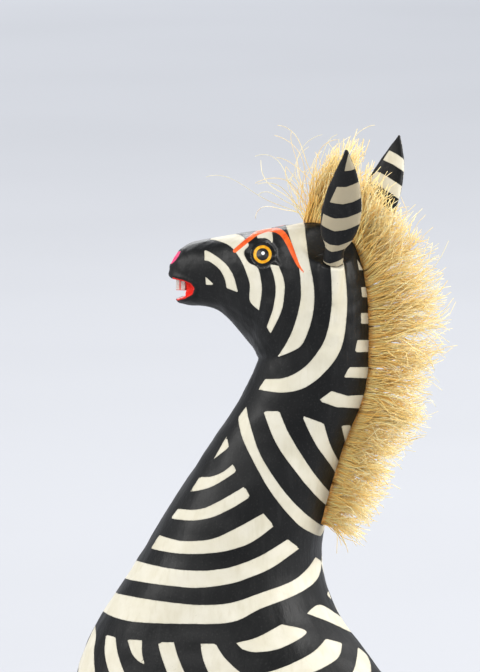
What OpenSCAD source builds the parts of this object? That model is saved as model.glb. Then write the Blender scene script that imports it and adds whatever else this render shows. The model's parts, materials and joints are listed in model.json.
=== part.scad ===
/* [Figure] */
// Height of the poll (top of the head) above the ground; everything scales with it (mm)
figure_height = 259; // [200:1:360]
// Width factor of the whole carving, side to side
width_factor = 1; // [0.85:0.01:1.25]

/* [Ears] */
// Length of an ear from its seat to its tip (mm)
ear_length = 37; // [28:0.5:48]
// Broad width of an ear (mm)
ear_width = 11; // [8:0.25:15]
// Thickness of an ear at its thickest (mm)
ear_thickness = 5.4; // [4.8:0.1:8]
// Distance of each ear seat from the middle plane (mm)
ear_offset = 12; // [11.6:0.1:13]
// Diameter of the loose peg in each ear (mm)
ear_peg_diameter = 2.5; // [2:0.1:3]
// Length of peg that stands in the head (mm)
ear_peg_depth = 9; // [6:0.5:12]
// Length of peg that stands in the ear (mm)
ear_peg_reach = 11; // [8:0.5:14]

/* [Tail] */
// Length of the carved tail (mm)
tail_length = 27; // [18:0.5:40]
// Diameter of the tail at its root (mm)
tail_diameter = 8; // [6.5:0.25:12]
// Diameter of the loose peg in the tail (mm)
tail_peg_diameter = 3; // [2:0.1:4]
// Length of the fibre tuft on the tail (mm)
tail_tuft_length = 22; // [14:1:34]

/* [Mane] */
// Width of the carved mane groove (mm)
groove_width = 3; // [2.4:0.1:4]
// Depth of the carved mane groove (mm)
groove_depth = 3.2; // [2.4:0.1:4.5]
// Length factor of the fibres
mane_length_factor = 1; // [0.7:0.02:1.3]

/* [Dowels] */
// Diameter of the dowel between head and neck (mm)
neck_dowel_diameter = 9; // [6:0.5:12]
// Length of the neck dowel (mm)
neck_dowel_length = 36; // [20:1:44]
// Diameter of the leg dowels (mm)
leg_dowel_diameter = 6; // [4:0.5:9]
// Length of the leg dowels (mm)
leg_dowel_length = 24; // [14:1:32]

/* [Fits] */
// Radial clearance of a turning peg in its hole (mm)
peg_clearance = 0.05; // [0.02:0.01:0.1]
// Radial glue gap around a fixed dowel (mm)
glue_gap = 0.05; // [0:0.01:0.15]
// Gap around a haunch in its shallow pocket (mm)
pocket_gap = 0.2; // [0.1:0.05:0.5]
// Clear space between fibre and wood, and between tufts (mm)
fibre_gap = 0.3; // [0.15:0.05:0.6]

/* [Hidden] */
mane_tufts = 20;
K = figure_height / 259;
W = K * width_factor;
FAR = 400 * K;
dowel_end_gap = 0.5;
peg_end_gap = 0.3;
hole_end_gap = 0.5;
cut_over = 1;
bore_over = 4;
cut_sides = 40;
bore_sides = 32;

// carved forms: each row is one flat slice,
// [front x, front z, back x, back z, half width, back bias, squareness]
HEAD = [
  [-46.0, 237.8, -46.9, 245.2, 2.6, 0.00, 2.2],
  [-45.5, 235.2, -46.4, 246.8, 5.0, 0.00, 2.2],
  [-44.0, 233.6, -44.8, 248.8, 6.9, 0.00, 2.2],
  [-41.0, 232.8, -41.4, 251.4, 8.4, 0.02, 2.2],
  [-35.4, 232.5, -35.3, 253.0, 9.3, 0.05, 2.2],
  [-31.0, 231.3, -28.0, 254.4, 10.0, 0.10, 2.2],
  [-27.4, 228.4, -20.4, 256.0, 11.2, 0.15, 2.2],
  [-24.2, 225.0, -11.2, 258.0, 12.6, 0.20, 2.2],
  [-21.6, 222.0, -3.0, 259.2, 13.6, 0.20, 2.2],
  [-20.0, 220.3, 4.4, 258.6, 14.8, 0.14, 2.4],
  [-19.2, 219.4, 10.2, 254.6, 15.3, 0.10, 2.5],
  [-19.0, 218.8, 13.6, 247.0, 15.4, 0.04, 2.4],
  [-18.8, 218.5, 15.0, 238.0, 15.2, 0.00, 2.2],
  [-18.7, 218.2, 15.6, 227.0, 15.0, 0.00, 2.1]];

NECK = [
  [-18.7, 218.2, 15.6, 227.0, 15.0, 0.00, 2.1],
  [-21.4, 212.2, 15.4, 217.4, 15.4, -0.02, 2.1],
  [-25.2, 205.0, 13.4, 206.8, 16.2, -0.04, 2.1],
  [-31.6, 195.4, 9.2, 196.6, 18.0, -0.05, 2.1],
  [-38.2, 185.6, 5.4, 186.2, 20.2, -0.05, 2.1],
  [-46.8, 172.4, 1.2, 172.6, 23.2, -0.05, 2.1],
  [-54.2, 159.6, -1.4, 159.8, 26.0, -0.04, 2.1],
  [-61.8, 148.0, 0.2, 148.4, 28.4, -0.04, 2.2],
  [-68.0, 138.4, 5.0, 138.6, 30.6, -0.04, 2.2],
  [-73.6, 127.0, 14.2, 127.0, 33.0, -0.04, 2.2],
  [-76.2, 113.0, 26.0, 113.0, 35.4, -0.04, 2.3],
  [-74.4, 98.0, 36.4, 98.0, 37.0, 0.00, 2.3],
  [-68.6, 84.0, 45.4, 84.0, 37.6, 0.04, 2.3],
  [-58.0, 69.0, 53.0, 69.0, 37.4, 0.08, 2.3],
  [-42.0, 54.0, 58.6, 54.0, 36.8, 0.10, 2.3],
  [-22.0, 40.0, 61.4, 40.0, 36.0, 0.05, 2.3],
  [-8.0, 25.0, 61.0, 25.0, 32.6, 0.00, 2.3],
  [0.0, 11.0, 58.0, 11.0, 29.0, 0.00, 2.3],
  [5.0, 3.0, 54.0, 3.0, 26.4, 0.00, 2.3],
  [7.0, 0.0, 52.0, 0.0, 24.6, 0.00, 2.3]];

// side view of the open mouth: upper lip, corner, lower lip
MOUTH = [
  [-52.0, 242.0], [-43.8, 241.4], [-40.7, 241.0], [-38.1, 240.2], [-37.2, 239.0],
  [-38.1, 237.3], [-40.7, 235.9], [-43.5, 235.0], [-52.0, 234.2]];

// forelegs: [front x, front z, back x, back z, half width, back bias, squareness, middle y]
FORELEG = [
  [-68.0, 83.0, -36.0, 57.0, 13.6, 0.00, 2.3, 18.0],
  [-68.4, 72.0, -37.5, 50.0, 12.4, 0.00, 2.3, 18.4],
  [-66.2, 56.0, -41.5, 46.0, 10.4, 0.00, 2.3, 19.0],
  [-64.6, 44.0, -43.8, 38.0, 9.2, 0.00, 2.3, 19.2],
  [-64.2, 34.0, -44.0, 31.0, 8.9, 0.00, 2.3, 19.4],
  [-62.8, 24.0, -45.2, 22.0, 7.8, 0.00, 2.3, 19.6],
  [-63.6, 16.0, -45.4, 14.6, 8.2, 0.00, 2.4, 19.8],
  [-66.6, 10.0, -44.4, 9.2, 9.4, 0.00, 2.6, 20.0],
  [-69.0, 4.0, -43.4, 4.0, 10.4, 0.00, 2.7, 20.0],
  [-70.0, 0.0, -43.0, 0.0, 10.8, 0.00, 2.7, 20.0]];

// haunches: upright slices going outwards,
// [low x, low z, high x, high z, half length, high bias, squareness, y]
HAUNCH = [
  [31.5, 3.0, 24.0, 67.0, 31.0, 0.00, 2.1, 30.5],
  [31.0, 3.4, 24.2, 65.6, 30.0, 0.00, 2.1, 36.0],
  [30.4, 5.4, 24.6, 62.4, 27.6, 0.00, 2.1, 41.5],
  [29.6, 10.0, 25.2, 57.0, 23.0, 0.00, 2.1, 46.5],
  [28.8, 17.4, 25.8, 49.6, 16.0, 0.00, 2.1, 50.0],
  [28.0, 27.0, 26.6, 40.0, 7.0, 0.00, 2.1, 51.6]];

// hind feet: slices across the foot, [x, low z, high z, half width, squareness, middle y]
HINDFOOT = [
  [-31.5, 1.6, 6.0, 5.0, 2.4, 43.0],
  [-30.6, 0.0, 9.0, 8.2, 2.5, 43.0],
  [-27.0, 0.0, 13.4, 9.8, 2.6, 43.0],
  [-19.0, 0.0, 15.2, 10.0, 2.6, 43.0],
  [-14.0, 0.0, 13.4, 8.8, 2.5, 43.0],
  [-6.0, 0.0, 13.0, 7.8, 2.4, 42.4],
  [8.0, 0.0, 14.0, 8.0, 2.4, 41.4],
  [24.0, 0.0, 15.4, 8.6, 2.4, 40.2],
  [40.0, 0.0, 17.4, 8.9, 2.3, 39.6],
  [50.0, 0.0, 18.6, 8.4, 2.2, 39.4],
  [56.0, 1.0, 16.0, 6.4, 2.1, 39.4],
  [58.6, 4.0, 11.6, 3.2, 2.0, 39.4]];

// line of the mane on the skin: [x, z, fibre direction in degrees, fibre length]
MANE = [
  [-5.4, 259.1, 66, 25.0],
  [0.4, 259.4, 70, 27.0],
  [6.0, 257.9, 71, 28.4],
  [10.6, 253.8, 58, 28.4],
  [13.4, 247.2, 40, 27.0],
  [14.9, 239.0, 24, 26.0],
  [15.6, 229.0, 10, 24.0],
  [15.4, 218.6, 3, 22.6],
  [13.6, 207.4, -2, 21.4],
  [10.0, 198.4, -5, 20.4],
  [6.6, 189.4, -8, 18.6],
  [3.6, 179.4, -10, 16.6],
  [0.8, 168.6, -13, 13.4]];
MANE_LAST = len(MANE) - 1;

// ear outline: [height share, front half width share, back half width share, thickness share]
EAR = [
  [0.000, 0.54, 0.56, 1.06],
  [0.060, 0.53, 0.56, 1.04],
  [0.110, 0.47, 0.53, 0.98],
  [0.160, 0.46, 0.62, 0.96],
  [0.220, 0.66, 0.84, 0.98],
  [0.300, 0.92, 1.06, 1.00],
  [0.400, 1.02, 1.18, 1.00],
  [0.520, 0.96, 1.18, 0.94],
  [0.640, 0.78, 1.08, 0.82],
  [0.760, 0.54, 0.88, 0.66],
  [0.860, 0.32, 0.60, 0.50],
  [0.940, 0.12, 0.32, 0.34],
  [1.000, 0.02, 0.10, 0.16]];

ear_seat_x = 7.9 * K;
ear_seat_z = 249.2 * K;
ear_seat_y = ear_offset * W;
ear_lean_back = 13.8;
ear_splay = 16;
ear_base_radius = 0.3 * ear_width;
ear_collar_height = 11;
ear_collar_flare = 2.2;
ear_collar_rim = 0.5;
ear_seat_radius = ear_base_radius + 2.4;
ear_seat_clearance = 14;

tail_root_x = 60.2 * K;
tail_root_z = 41 * K;
tail_droop = 34;
tail_peg_depth = 12;
tail_peg_reach = 11;
tail_seat_diameter = 1.25 * tail_diameter;
tail_seat_clearance = 12;

joint_x = (NECK[0][0] + NECK[0][2]) / 2;
joint_z = (NECK[0][1] + NECK[0][3]) / 2;
joint_tilt = atan2(NECK[0][3] - NECK[0][1], NECK[0][2] - NECK[0][0]);

foreleg_x = (FORELEG[0][0] + FORELEG[0][2]) / 2;
foreleg_z = (FORELEG[0][1] + FORELEG[0][3]) / 2;
foreleg_y = FORELEG[0][7];
foreleg_tilt = atan2(FORELEG[0][3] - FORELEG[0][1], FORELEG[0][2] - FORELEG[0][0]);

haunch_y = HAUNCH[0][7];
haunch_dowel_x = 27;
haunch_dowel_z = 36;
pocket_cut_depth = 20 * K;

// front body block that the forelegs stand against: behind the joint, wall ahead of it, depth
foreleg_cut_back = 40;
foreleg_cut_wall = 24;
foreleg_cut_depth = 60;

// slip of the upper teeth and the red wall behind it
teeth_x = -44.8;
teeth_pitch = 1.6;
tooth_thickness = 1.4;
teeth_half_width = 3;
teeth_low_z = 237.4;
teeth_slip_z = 241.4;
teeth_top_z = 243.5;
teeth_gap = 0.1;
gum_front_x = -41.6;
gum_back_x = -30;
gum_half_width = 2.6;

front_x = -76.2 * K;
tail_end_x = tail_root_x + (tail_length + fibre_gap + tail_tuft_length) * cos(tail_droop) - 1.2;
shift_x = -(front_x + tail_end_x) / 2;

black = [0.09, 0.095, 0.10];
cream = [0.92, 0.90, 0.84];
straw = [0.90, 0.76, 0.44];
peg_wood = [0.80, 0.66, 0.45];

module placed() {
  translate([shift_x, 0, 0])
    children();
}
function len_of(t) = len(t) - 1;
function cr1(a, b, c, d, t) =
  0.5 * (2 * b + (c - a) * t + (2 * a - 5 * b + 4 * c - d) * t * t + (3 * b - a - 3 * c + d) * t * t * t);
function clampi(i, n) = max(0, min(n, i));
function row(t, s) =
  let (n = len_of(t), i = clampi(floor(s), n - 1), f = s - i,
       a = t[clampi(i - 1, n)], b = t[i], c = t[i + 1], d = t[clampi(i + 2, n)])
  [for (k = [0:len(b) - 1]) cr1(a[k], b[k], c[k], d[k], f)];
function spow(v, p) = v < 0 ? -pow(-v, p) : pow(v, p);

// one ring of n points on the slice r, its middle at the given y
function ring(r, n, ymid) =
  let (mx = (r[0] + r[2]) / 2, mz = (r[1] + r[3]) / 2, hx = (r[2] - r[0]) / 2, hz = (r[3] - r[1]) / 2,
       p = 2 / r[6], kk = r[5])
  [for (i = [0:n - 1])
    let (a = 360 * i / n, c = -spow(cos(a), p), w = spow(sin(a), p) * r[4] * (1 + kk * c))
    [K * (mx + c * hx), W * (ymid + w), K * (mz + c * hz)]];

// closed skin over a list of rings, flat ends
module skin(rings) {
  n = len(rings[0]);
  m = len(rings);
  pts = concat([for (r = rings) each r], [cap_mid(rings[0])], [cap_mid(rings[m - 1])]);
  sides = [for (j = [0:m - 2], i = [0:n - 1])
    let (a = j * n + i, b = j * n + (i + 1) % n, c = a + n, d = b + n) each [[a, c, b], [b, c, d]]];
  low = [for (i = [0:n - 1]) [m * n, i, (i + 1) % n]];
  high = [for (i = [0:n - 1]) [m * n + 1, (m - 1) * n + (i + 1) % n, (m - 1) * n + i]];
  polyhedron(points = pts, faces = concat(sides, low, high), convexity = 6);
}
function cap_mid(r) = [for (k = [0:2]) (min([for (p = r) p[k]]) + max([for (p = r) p[k]])) / 2];

function loft_rings(t, steps, n) =
  [for (j = [0:steps]) let (r = row(t, j * len_of(t) / steps)) ring(r, n, 0)];
function leg_rings(t, steps, n) =
  [for (j = [0:steps]) let (r = row(t, j * len_of(t) / steps)) ring(r, n, r[7])];

// slice of a haunch: a flat upright oval at the row's y
function haunch_ring(r, n) =
  let (mx = (r[0] + r[2]) / 2, mz = (r[1] + r[3]) / 2, hx = (r[2] - r[0]) / 2, hz = (r[3] - r[1]) / 2,
       h = norm([hx, hz]), p = 2 / r[6])
  [for (i = [0:n - 1])
    let (a = 360 * i / n, c = spow(cos(a), p), w = spow(sin(a), p) * r[4])
    [K * (mx + c * hx + w * hz / h), W * r[7], K * (mz + c * hz - w * hx / h)]];
function haunch_rings(steps, n) =
  [for (j = [0:steps]) haunch_ring(row(HAUNCH, j * len_of(HAUNCH) / steps), n)];

function foot_ring(r, n) =
  let (mz = (r[1] + r[2]) / 2, hz = (r[2] - r[1]) / 2, p = 2 / r[4])
  [for (i = [0:n - 1])
    let (a = 360 * i / n, c = -spow(cos(a), p), w = spow(sin(a), p) * r[3])
    [K * r[0], W * (r[5] + w), K * max(max(0, r[1]), mz + c * hz * (c < 0 ? 1.25 : 1))]];
function foot_rings(steps, n) =
  [for (j = [0:steps]) foot_ring(row(HINDFOOT, j * len_of(HINDFOOT) / steps), n)];

// frames of the pegs
module at_ear_seat(side) {
  translate([ear_seat_x, side * ear_seat_y, ear_seat_z])
    rotate([-side * ear_splay, 0, 0])
      rotate([0, ear_lean_back, 0])
        children();
}
module at_tail_root() {
  translate([tail_root_x, 0, tail_root_z])
    rotate([0, 90 + tail_droop, 0])
      children();
}
module at_neck_joint() {
  translate([K * joint_x, 0, K * joint_z])
    rotate([0, -joint_tilt, 0])
      children();
}
module at_foreleg_joint(side) {
  translate([K * foreleg_x, side * W * foreleg_y, K * foreleg_z])
    rotate([0, -foreleg_tilt, 0])
      children();
}
module at_haunch_joint(side) {
  translate([K * haunch_dowel_x, side * W * haunch_y, K * haunch_dowel_z])
    rotate([90, 0, 0])
      children();
}

// point on the mane line, h above the skin
function mane_row(s) = row(MANE, s);
function mane_dir(s) = let (r = mane_row(s)) [cos(r[2]), sin(r[2])];
function mane_normal(s) =
  let (e = 0.02, a = mane_row(max(0, s - e)), b = mane_row(min(MANE_LAST, s + e)),
       t = [b[0] - a[0], b[1] - a[1]])
  [-t[1], t[0]] / norm(t);
function mane_at(s, h) = let (r = mane_row(s), n = mane_normal(s)) [K * r[0], K * r[1]] + h * n;
function mane_tip(s, share) =
  let (r = mane_row(s)) [K * r[0], K * r[1]] + K * mane_length_factor * share * r[3] * mane_dir(s);

module mane_groove() {
  steps = 30;
  inner = [for (j = [0:steps]) mane_at(j * MANE_LAST / steps, -groove_depth)];
  outer = [for (j = [steps:-1:0]) mane_at(j * MANE_LAST / steps, 4)];
  rotate([90, 0, 0])
    linear_extrude(height = groove_width, center = true)
      polygon(concat(inner, outer));
}

module leg_dowel_hole() {
  cylinder(h = leg_dowel_length + 2 * dowel_end_gap, d = leg_dowel_diameter + 2 * glue_gap, center = true,
           $fn = bore_sides);
}
module neck_dowel_hole() {
  cylinder(h = neck_dowel_length + 2 * dowel_end_gap, d = neck_dowel_diameter + 2 * glue_gap, center = true,
           $fn = cut_sides);
}

module foreleg_shape() {
  skin(leg_rings(FORELEG, 26, 24));
}

module foreleg(side) {
  color(black)
  placed()
    difference() {
      if (side > 0)
        foreleg_shape();
      else
        mirror([0, 1, 0])
          foreleg_shape();
      at_foreleg_joint(side)
        leg_dowel_hole();
    }
}

// shallow flat-bottomed pocket that a haunch is let into
module haunch_pocket(side) {
  mid = [(HAUNCH[0][0] + HAUNCH[0][2]) / 2, (HAUNCH[0][1] + HAUNCH[0][3]) / 2] * K;
  rim = [for (p = haunch_ring(HAUNCH[0], 48))
    let (v = [p[0], p[2]] - mid) mid + v * (1 + pocket_gap / norm(v))];
  translate([0, side > 0 ? W * haunch_y + pocket_cut_depth : -W * haunch_y, 0])
    rotate([90, 0, 0])
      linear_extrude(height = pocket_cut_depth)
        polygon(rim);
}

module hindleg_shape() {
  skin(haunch_rings(12, 32));
  skin(foot_rings(22, 22));
}

module hindleg(side) {
  color(black)
  placed()
    difference() {
      if (side > 0)
        hindleg_shape();
      else
        mirror([0, 1, 0])
          hindleg_shape();
      at_haunch_joint(side)
        leg_dowel_hole();
    }
}

module torso() {
  color(black)
  placed()
    difference() {
      skin(loft_rings(NECK, 54, 36));
      mane_groove();
      at_neck_joint()
        neck_dowel_hole();
      for (side = [-1, 1]) {
        at_foreleg_joint(side)
          leg_dowel_hole();
        at_haunch_joint(side)
          leg_dowel_hole();
        haunch_pocket(side);
      }
      at_foreleg_joint(0)
        translate([K * -foreleg_cut_back, -FAR / 2, K * -foreleg_cut_depth])
          cube([K * (foreleg_cut_back + foreleg_cut_wall), FAR, K * foreleg_cut_depth]);
      at_tail_root() {
        translate([0, 0, -tail_peg_depth])
          cylinder(h = tail_peg_depth + bore_over, d = tail_peg_diameter + 2 * peg_clearance,
                   $fn = bore_sides);
        cylinder(h = tail_seat_clearance, d = tail_seat_diameter, $fn = cut_sides);
      }
    }
}

// the open mouth goes right through, past the gum that stands in its middle
module mouth_cut() {
  difference() {
    rotate([90, 0, 0])
      linear_extrude(height = FAR, center = true)
        polygon(K * MOUTH);
    translate([K * gum_front_x, -W * gum_half_width, 0])
      cube([K * (gum_back_x - gum_front_x), 2 * W * gum_half_width, FAR]);
  }
}

module head() {
  color(black)
  placed()
    difference() {
      union() {
        skin(loft_rings(HEAD, 40, 36));
        for (side = [-1, 1])
          at_ear_seat(side)
            translate([0, 0, -ear_collar_height])
              cylinder(h = ear_collar_height, r1 = ear_base_radius + ear_collar_flare,
                       r2 = ear_base_radius + ear_collar_rim, $fn = bore_sides);
      }
      mane_groove();
      mouth_cut();
      at_neck_joint()
        neck_dowel_hole();
      translate([K * teeth_x - teeth_gap, -W * teeth_half_width - teeth_gap, K * (teeth_slip_z - cut_over)])
        cube([K * (teeth_pitch + tooth_thickness) + 2 * teeth_gap, 2 * (W * teeth_half_width + teeth_gap),
              K * (teeth_top_z - teeth_slip_z + cut_over) + teeth_gap]);
      for (side = [-1, 1])
        at_ear_seat(side) {
          translate([0, 0, -ear_peg_depth])
            cylinder(h = ear_peg_depth + bore_over, d = ear_peg_diameter + 2 * peg_clearance,
                     $fn = bore_sides);
          cylinder(h = ear_seat_clearance, r = ear_seat_radius, $fn = cut_sides);
        }
    }
}

module neck_dowel() {
  color(peg_wood)
  placed()
    at_neck_joint()
      cylinder(h = neck_dowel_length, d = neck_dowel_diameter, center = true, $fn = cut_sides);
}

module foreleg_dowels() {
  color(peg_wood)
  placed()
    for (side = [-1, 1])
      at_foreleg_joint(side)
        cylinder(h = leg_dowel_length, d = leg_dowel_diameter, center = true, $fn = bore_sides);
}

module hindleg_dowels() {
  color(peg_wood)
  placed()
    for (side = [-1, 1])
      at_haunch_joint(side)
        cylinder(h = leg_dowel_length, d = leg_dowel_diameter, center = true, $fn = bore_sides);
}

module left_foreleg() {
  foreleg(-1);
}
module right_foreleg() {
  foreleg(1);
}
module left_hindleg() {
  hindleg(-1);
}
module right_hindleg() {
  hindleg(1);
}

// two rows of teeth on one slip that stands in a slot of the upper lip
module upper_teeth() {
  color(cream)
  placed()
    union() {
      translate([K * teeth_x, -W * teeth_half_width, K * teeth_slip_z])
        cube([K * (teeth_pitch + tooth_thickness), 2 * W * teeth_half_width,
              K * (teeth_top_z - teeth_slip_z)]);
      for (i = [0, 1])
        translate([K * (teeth_x + i * teeth_pitch), -W * teeth_half_width, K * teeth_low_z])
          cube([K * tooth_thickness, 2 * W * teeth_half_width, K * (teeth_slip_z - teeth_low_z + teeth_gap)]);
    }
}

function ear_ring(r, n) =
  [for (i = [0:n - 1])
    let (a = 360 * i / n, c = cos(a), s = sin(a), w = c < 0 ? r[1] : r[2])
    [c * w * ear_width / 2, s * r[3] * ear_thickness / 2, r[0] * ear_length]];

module ear(side) {
  color(black)
  placed()
    at_ear_seat(side)
      difference() {
        skin_up([for (j = [0:28]) ear_ring(row(EAR, j * len_of(EAR) / 28), 24)]);
        translate([0, 0, -cut_over])
          cylinder(h = cut_over + ear_peg_reach + hole_end_gap, d = ear_peg_diameter + 2 * peg_clearance,
                   $fn = bore_sides);
      }
}
// closed skin over rings that climb along +z
module skin_up(rings) {
  n = len(rings[0]);
  m = len(rings);
  pts = concat([for (r = rings) each r], [cap_mid(rings[0])], [cap_mid(rings[m - 1])]);
  sides = [for (j = [0:m - 2], i = [0:n - 1])
    let (a = j * n + i, b = j * n + (i + 1) % n, c = a + n, d = b + n) each [[a, c, b], [b, c, d]]];
  low = [for (i = [0:n - 1]) [m * n, i, (i + 1) % n]];
  high = [for (i = [0:n - 1]) [m * n + 1, (m - 1) * n + (i + 1) % n, (m - 1) * n + i]];
  polyhedron(points = pts, faces = concat(sides, low, high), convexity = 4);
}

module ear_peg(side) {
  color(peg_wood)
  placed()
    at_ear_seat(side)
      translate([0, 0, peg_end_gap - ear_peg_depth])
        cylinder(h = ear_peg_depth + ear_peg_reach - peg_end_gap, d = ear_peg_diameter, $fn = bore_sides);
}

module left_ear() {
  ear(-1);
}
module right_ear() {
  ear(1);
}
module left_ear_peg() {
  ear_peg(-1);
}
module right_ear_peg() {
  ear_peg(1);
}

// tail: round slices along its axis, the free half bends down; share 0 to 1
function tail_bend(t) = t < 0.5 ? 0 : 0.10 * tail_length * pow(2 * t - 1, 2);
function tail_ring(t, n) =
  let (d = tail_diameter * (1 - 0.42 * t + 0.12 * sin(t * 360)) / 2)
  [for (i = [0:n - 1]) let (a = 360 * i / n) [tail_bend(t) + d * cos(a), d * sin(a), t * tail_length]];

module tail() {
  color(black)
  placed()
    at_tail_root()
      difference() {
        skin_up([for (j = [0:16]) tail_ring(j / 16, 24)]);
        translate([0, 0, -cut_over])
          cylinder(h = cut_over + tail_peg_reach + hole_end_gap, d = tail_peg_diameter + 2 * peg_clearance,
                   $fn = bore_sides);
      }
}

module tail_peg() {
  color(peg_wood)
  placed()
    at_tail_root()
      translate([0, 0, peg_end_gap - tail_peg_depth])
        cylinder(h = tail_peg_depth + tail_peg_reach - peg_end_gap, d = tail_peg_diameter, $fn = bore_sides);
}

function tuft_ring(t, n) =
  let (d = tail_diameter * (0.20 + 0.52 * sin(20 + t * 130)))
  [for (i = [0:n - 1])
    let (a = 360 * i / n, b = 0.10 * tail_length + 0.22 * t * tail_tuft_length)
    [b + d * cos(a), d * sin(a), tail_length + fibre_gap + t * tail_tuft_length]];

module tail_tuft() {
  color(straw)
  placed()
    at_tail_root()
      skin_up([for (j = [0:6]) tuft_ring(j / 6, 12)]);
}

// one fibre tuft of the mane, number i
module tuft(i) {
  ds = MANE_LAST / mane_tufts;
  e = fibre_gap / 2 / 10;
  s0 = 0.03 + i * ds * 0.995 + e;
  s1 = 0.03 + (i + 1) * ds * 0.995 - e;
  y0 = groove_width / 2 - fibre_gap;
  rows = [
    [mane_at(s0, fibre_gap - groove_depth), mane_at(s1, fibre_gap - groove_depth), y0],
    [mane_at(s0, 0.4), mane_at(s1, 0.4), y0],
    [mane_tip(s0, 0.5), mane_tip(s1, 0.5), 2.6 * W],
    [mane_tip(s0, 1), mane_tip(s1, 1), 3.2 * W]];
  rings = [for (r = rows)
    [[r[0][0], r[2], r[0][1]], [r[0][0], -r[2], r[0][1]],
     [r[1][0], -r[2], r[1][1]], [r[1][0], r[2], r[1][1]]]];
  color(straw)
  placed()
    skin_up(rings);
}

module mane_01() {
  tuft(0);
}
module mane_02() {
  tuft(1);
}
module mane_03() {
  tuft(2);
}
module mane_04() {
  tuft(3);
}
module mane_05() {
  tuft(4);
}
module mane_06() {
  tuft(5);
}
module mane_07() {
  tuft(6);
}
module mane_08() {
  tuft(7);
}
module mane_09() {
  tuft(8);
}
module mane_10() {
  tuft(9);
}
module mane_11() {
  tuft(10);
}
module mane_12() {
  tuft(11);
}
module mane_13() {
  tuft(12);
}
module mane_14() {
  tuft(13);
}
module mane_15() {
  tuft(14);
}
module mane_16() {
  tuft(15);
}
module mane_17() {
  tuft(16);
}
module mane_18() {
  tuft(17);
}
module mane_19() {
  tuft(18);
}
module mane_20() {
  tuft(19);
}

torso();
head();
neck_dowel();
left_foreleg();
right_foreleg();
foreleg_dowels();
left_hindleg();
right_hindleg();
hindleg_dowels();
upper_teeth();
left_ear();
right_ear();
left_ear_peg();
right_ear_peg();
tail();
tail_peg();
tail_tuft();
mane_01();
mane_02();
mane_03();
mane_04();
mane_05();
mane_06();
mane_07();
mane_08();
mane_09();
mane_10();
mane_11();
mane_12();
mane_13();
mane_14();
mane_15();
mane_16();
mane_17();
mane_18();
mane_19();
mane_20();
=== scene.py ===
# Carved and painted zebra figure with a mane of agave fibre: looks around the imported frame.
import json
import math

import bmesh
import bpy
import numpy as np
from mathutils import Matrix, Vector
from mathutils.bvhtree import BVHTree


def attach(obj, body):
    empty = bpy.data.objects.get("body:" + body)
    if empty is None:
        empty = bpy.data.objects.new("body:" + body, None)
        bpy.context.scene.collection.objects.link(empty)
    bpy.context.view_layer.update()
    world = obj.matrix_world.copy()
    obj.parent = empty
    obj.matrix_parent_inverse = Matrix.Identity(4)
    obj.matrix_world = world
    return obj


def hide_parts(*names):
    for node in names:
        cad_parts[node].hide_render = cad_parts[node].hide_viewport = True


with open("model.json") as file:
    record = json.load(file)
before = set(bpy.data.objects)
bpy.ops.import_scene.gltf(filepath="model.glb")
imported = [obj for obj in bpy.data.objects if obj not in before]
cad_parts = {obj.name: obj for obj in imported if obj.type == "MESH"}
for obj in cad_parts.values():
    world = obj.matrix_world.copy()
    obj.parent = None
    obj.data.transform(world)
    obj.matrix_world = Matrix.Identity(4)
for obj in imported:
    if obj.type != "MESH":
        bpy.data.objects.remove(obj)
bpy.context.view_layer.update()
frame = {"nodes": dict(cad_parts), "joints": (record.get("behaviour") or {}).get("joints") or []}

MM = 0.001
NODES = frame["nodes"]
JOINTS = {j["name"]: j for j in frame["joints"]}

# ---------------------------------------------------------------- camera and paint plane
# the figure is painted in its side view: u runs to the right, w upwards, in mm, both sides mirrored
EAR_SEAT_X = 7.9  # where the ears sit in the carving's own axes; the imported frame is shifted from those
BACK_TURN = 14.0  # how far past the middle the layout runs on across the back
SHIFT = JOINTS["left_ear_turn"]["pos_m"][0] / MM - EAR_SEAT_X
AZIMUTH = math.radians(20)
ELEVATION = math.radians(8)
BACK = np.array([math.sin(AZIMUTH) * math.cos(ELEVATION), -math.cos(AZIMUTH) * math.cos(ELEVATION),
                 math.sin(ELEVATION)])
RIGHT = np.array([math.cos(AZIMUTH), math.sin(AZIMUTH), 0.0])
UP = np.cross(BACK, RIGHT)
AIM = -24.0 * RIGHT + 223.2 * UP + np.array([SHIFT, 0, 0])


def smoothstep(x, low, high):
    t = np.clip((x - low) / (high - low), 0, 1)
    return t * t * (3 - 2 * t)


def paint_plane(points):
    """Places in the side view; on the trunk's back the layout runs on past the middle before it mirrors."""
    q = points - [SHIFT, 0, 0]
    turn = BACK_TURN * smoothstep(q[:, 0], -14, 10) * smoothstep(-q[:, 2], -172, -150)
    q[:, 1] = turn - np.abs(q[:, 1] - turn)
    return np.stack([q @ RIGHT, q @ UP], 1)


# ---------------------------------------------------------------- meshes in mm
class Solid:
    """A closed mesh in mm: points, and polygons as lists."""

    def __init__(self, points, faces):
        self.points = np.array(points, float).reshape(-1, 3)
        self.faces = faces

    def normals(self):
        """Unit normal of each point."""
        tri = self.triangles()
        p = self.points
        n = np.cross(p[tri[:, 1]] - p[tri[:, 0]], p[tri[:, 2]] - p[tri[:, 0]])
        out = np.zeros_like(p)
        for k in range(3):
            for c in range(3):
                out[:, c] += np.bincount(tri[:, k], n[:, c], len(p))
        return out / np.maximum(np.linalg.norm(out, axis=1, keepdims=True), 1e-12)

    def triangles(self):
        out = []
        for f in self.faces:
            out += [(f[0], f[i], f[i + 1]) for i in range(1, len(f) - 1)]
        return np.array(out, int)

    def edges(self):
        pairs = set()
        for f in self.faces:
            for a, b in zip(f, f[1:] + f[:1]):
                pairs.add((a, b) if a < b else (b, a))
        return np.array(sorted(pairs), int)


def to_object(solid, name, scale=1.0):
    mesh = bpy.data.meshes.new(name)
    mesh.from_pydata((solid.points * scale).tolist(), [], solid.faces)
    mesh.update()
    obj = bpy.data.objects.new(name, mesh)
    bpy.context.scene.collection.objects.link(obj)
    return obj


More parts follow.
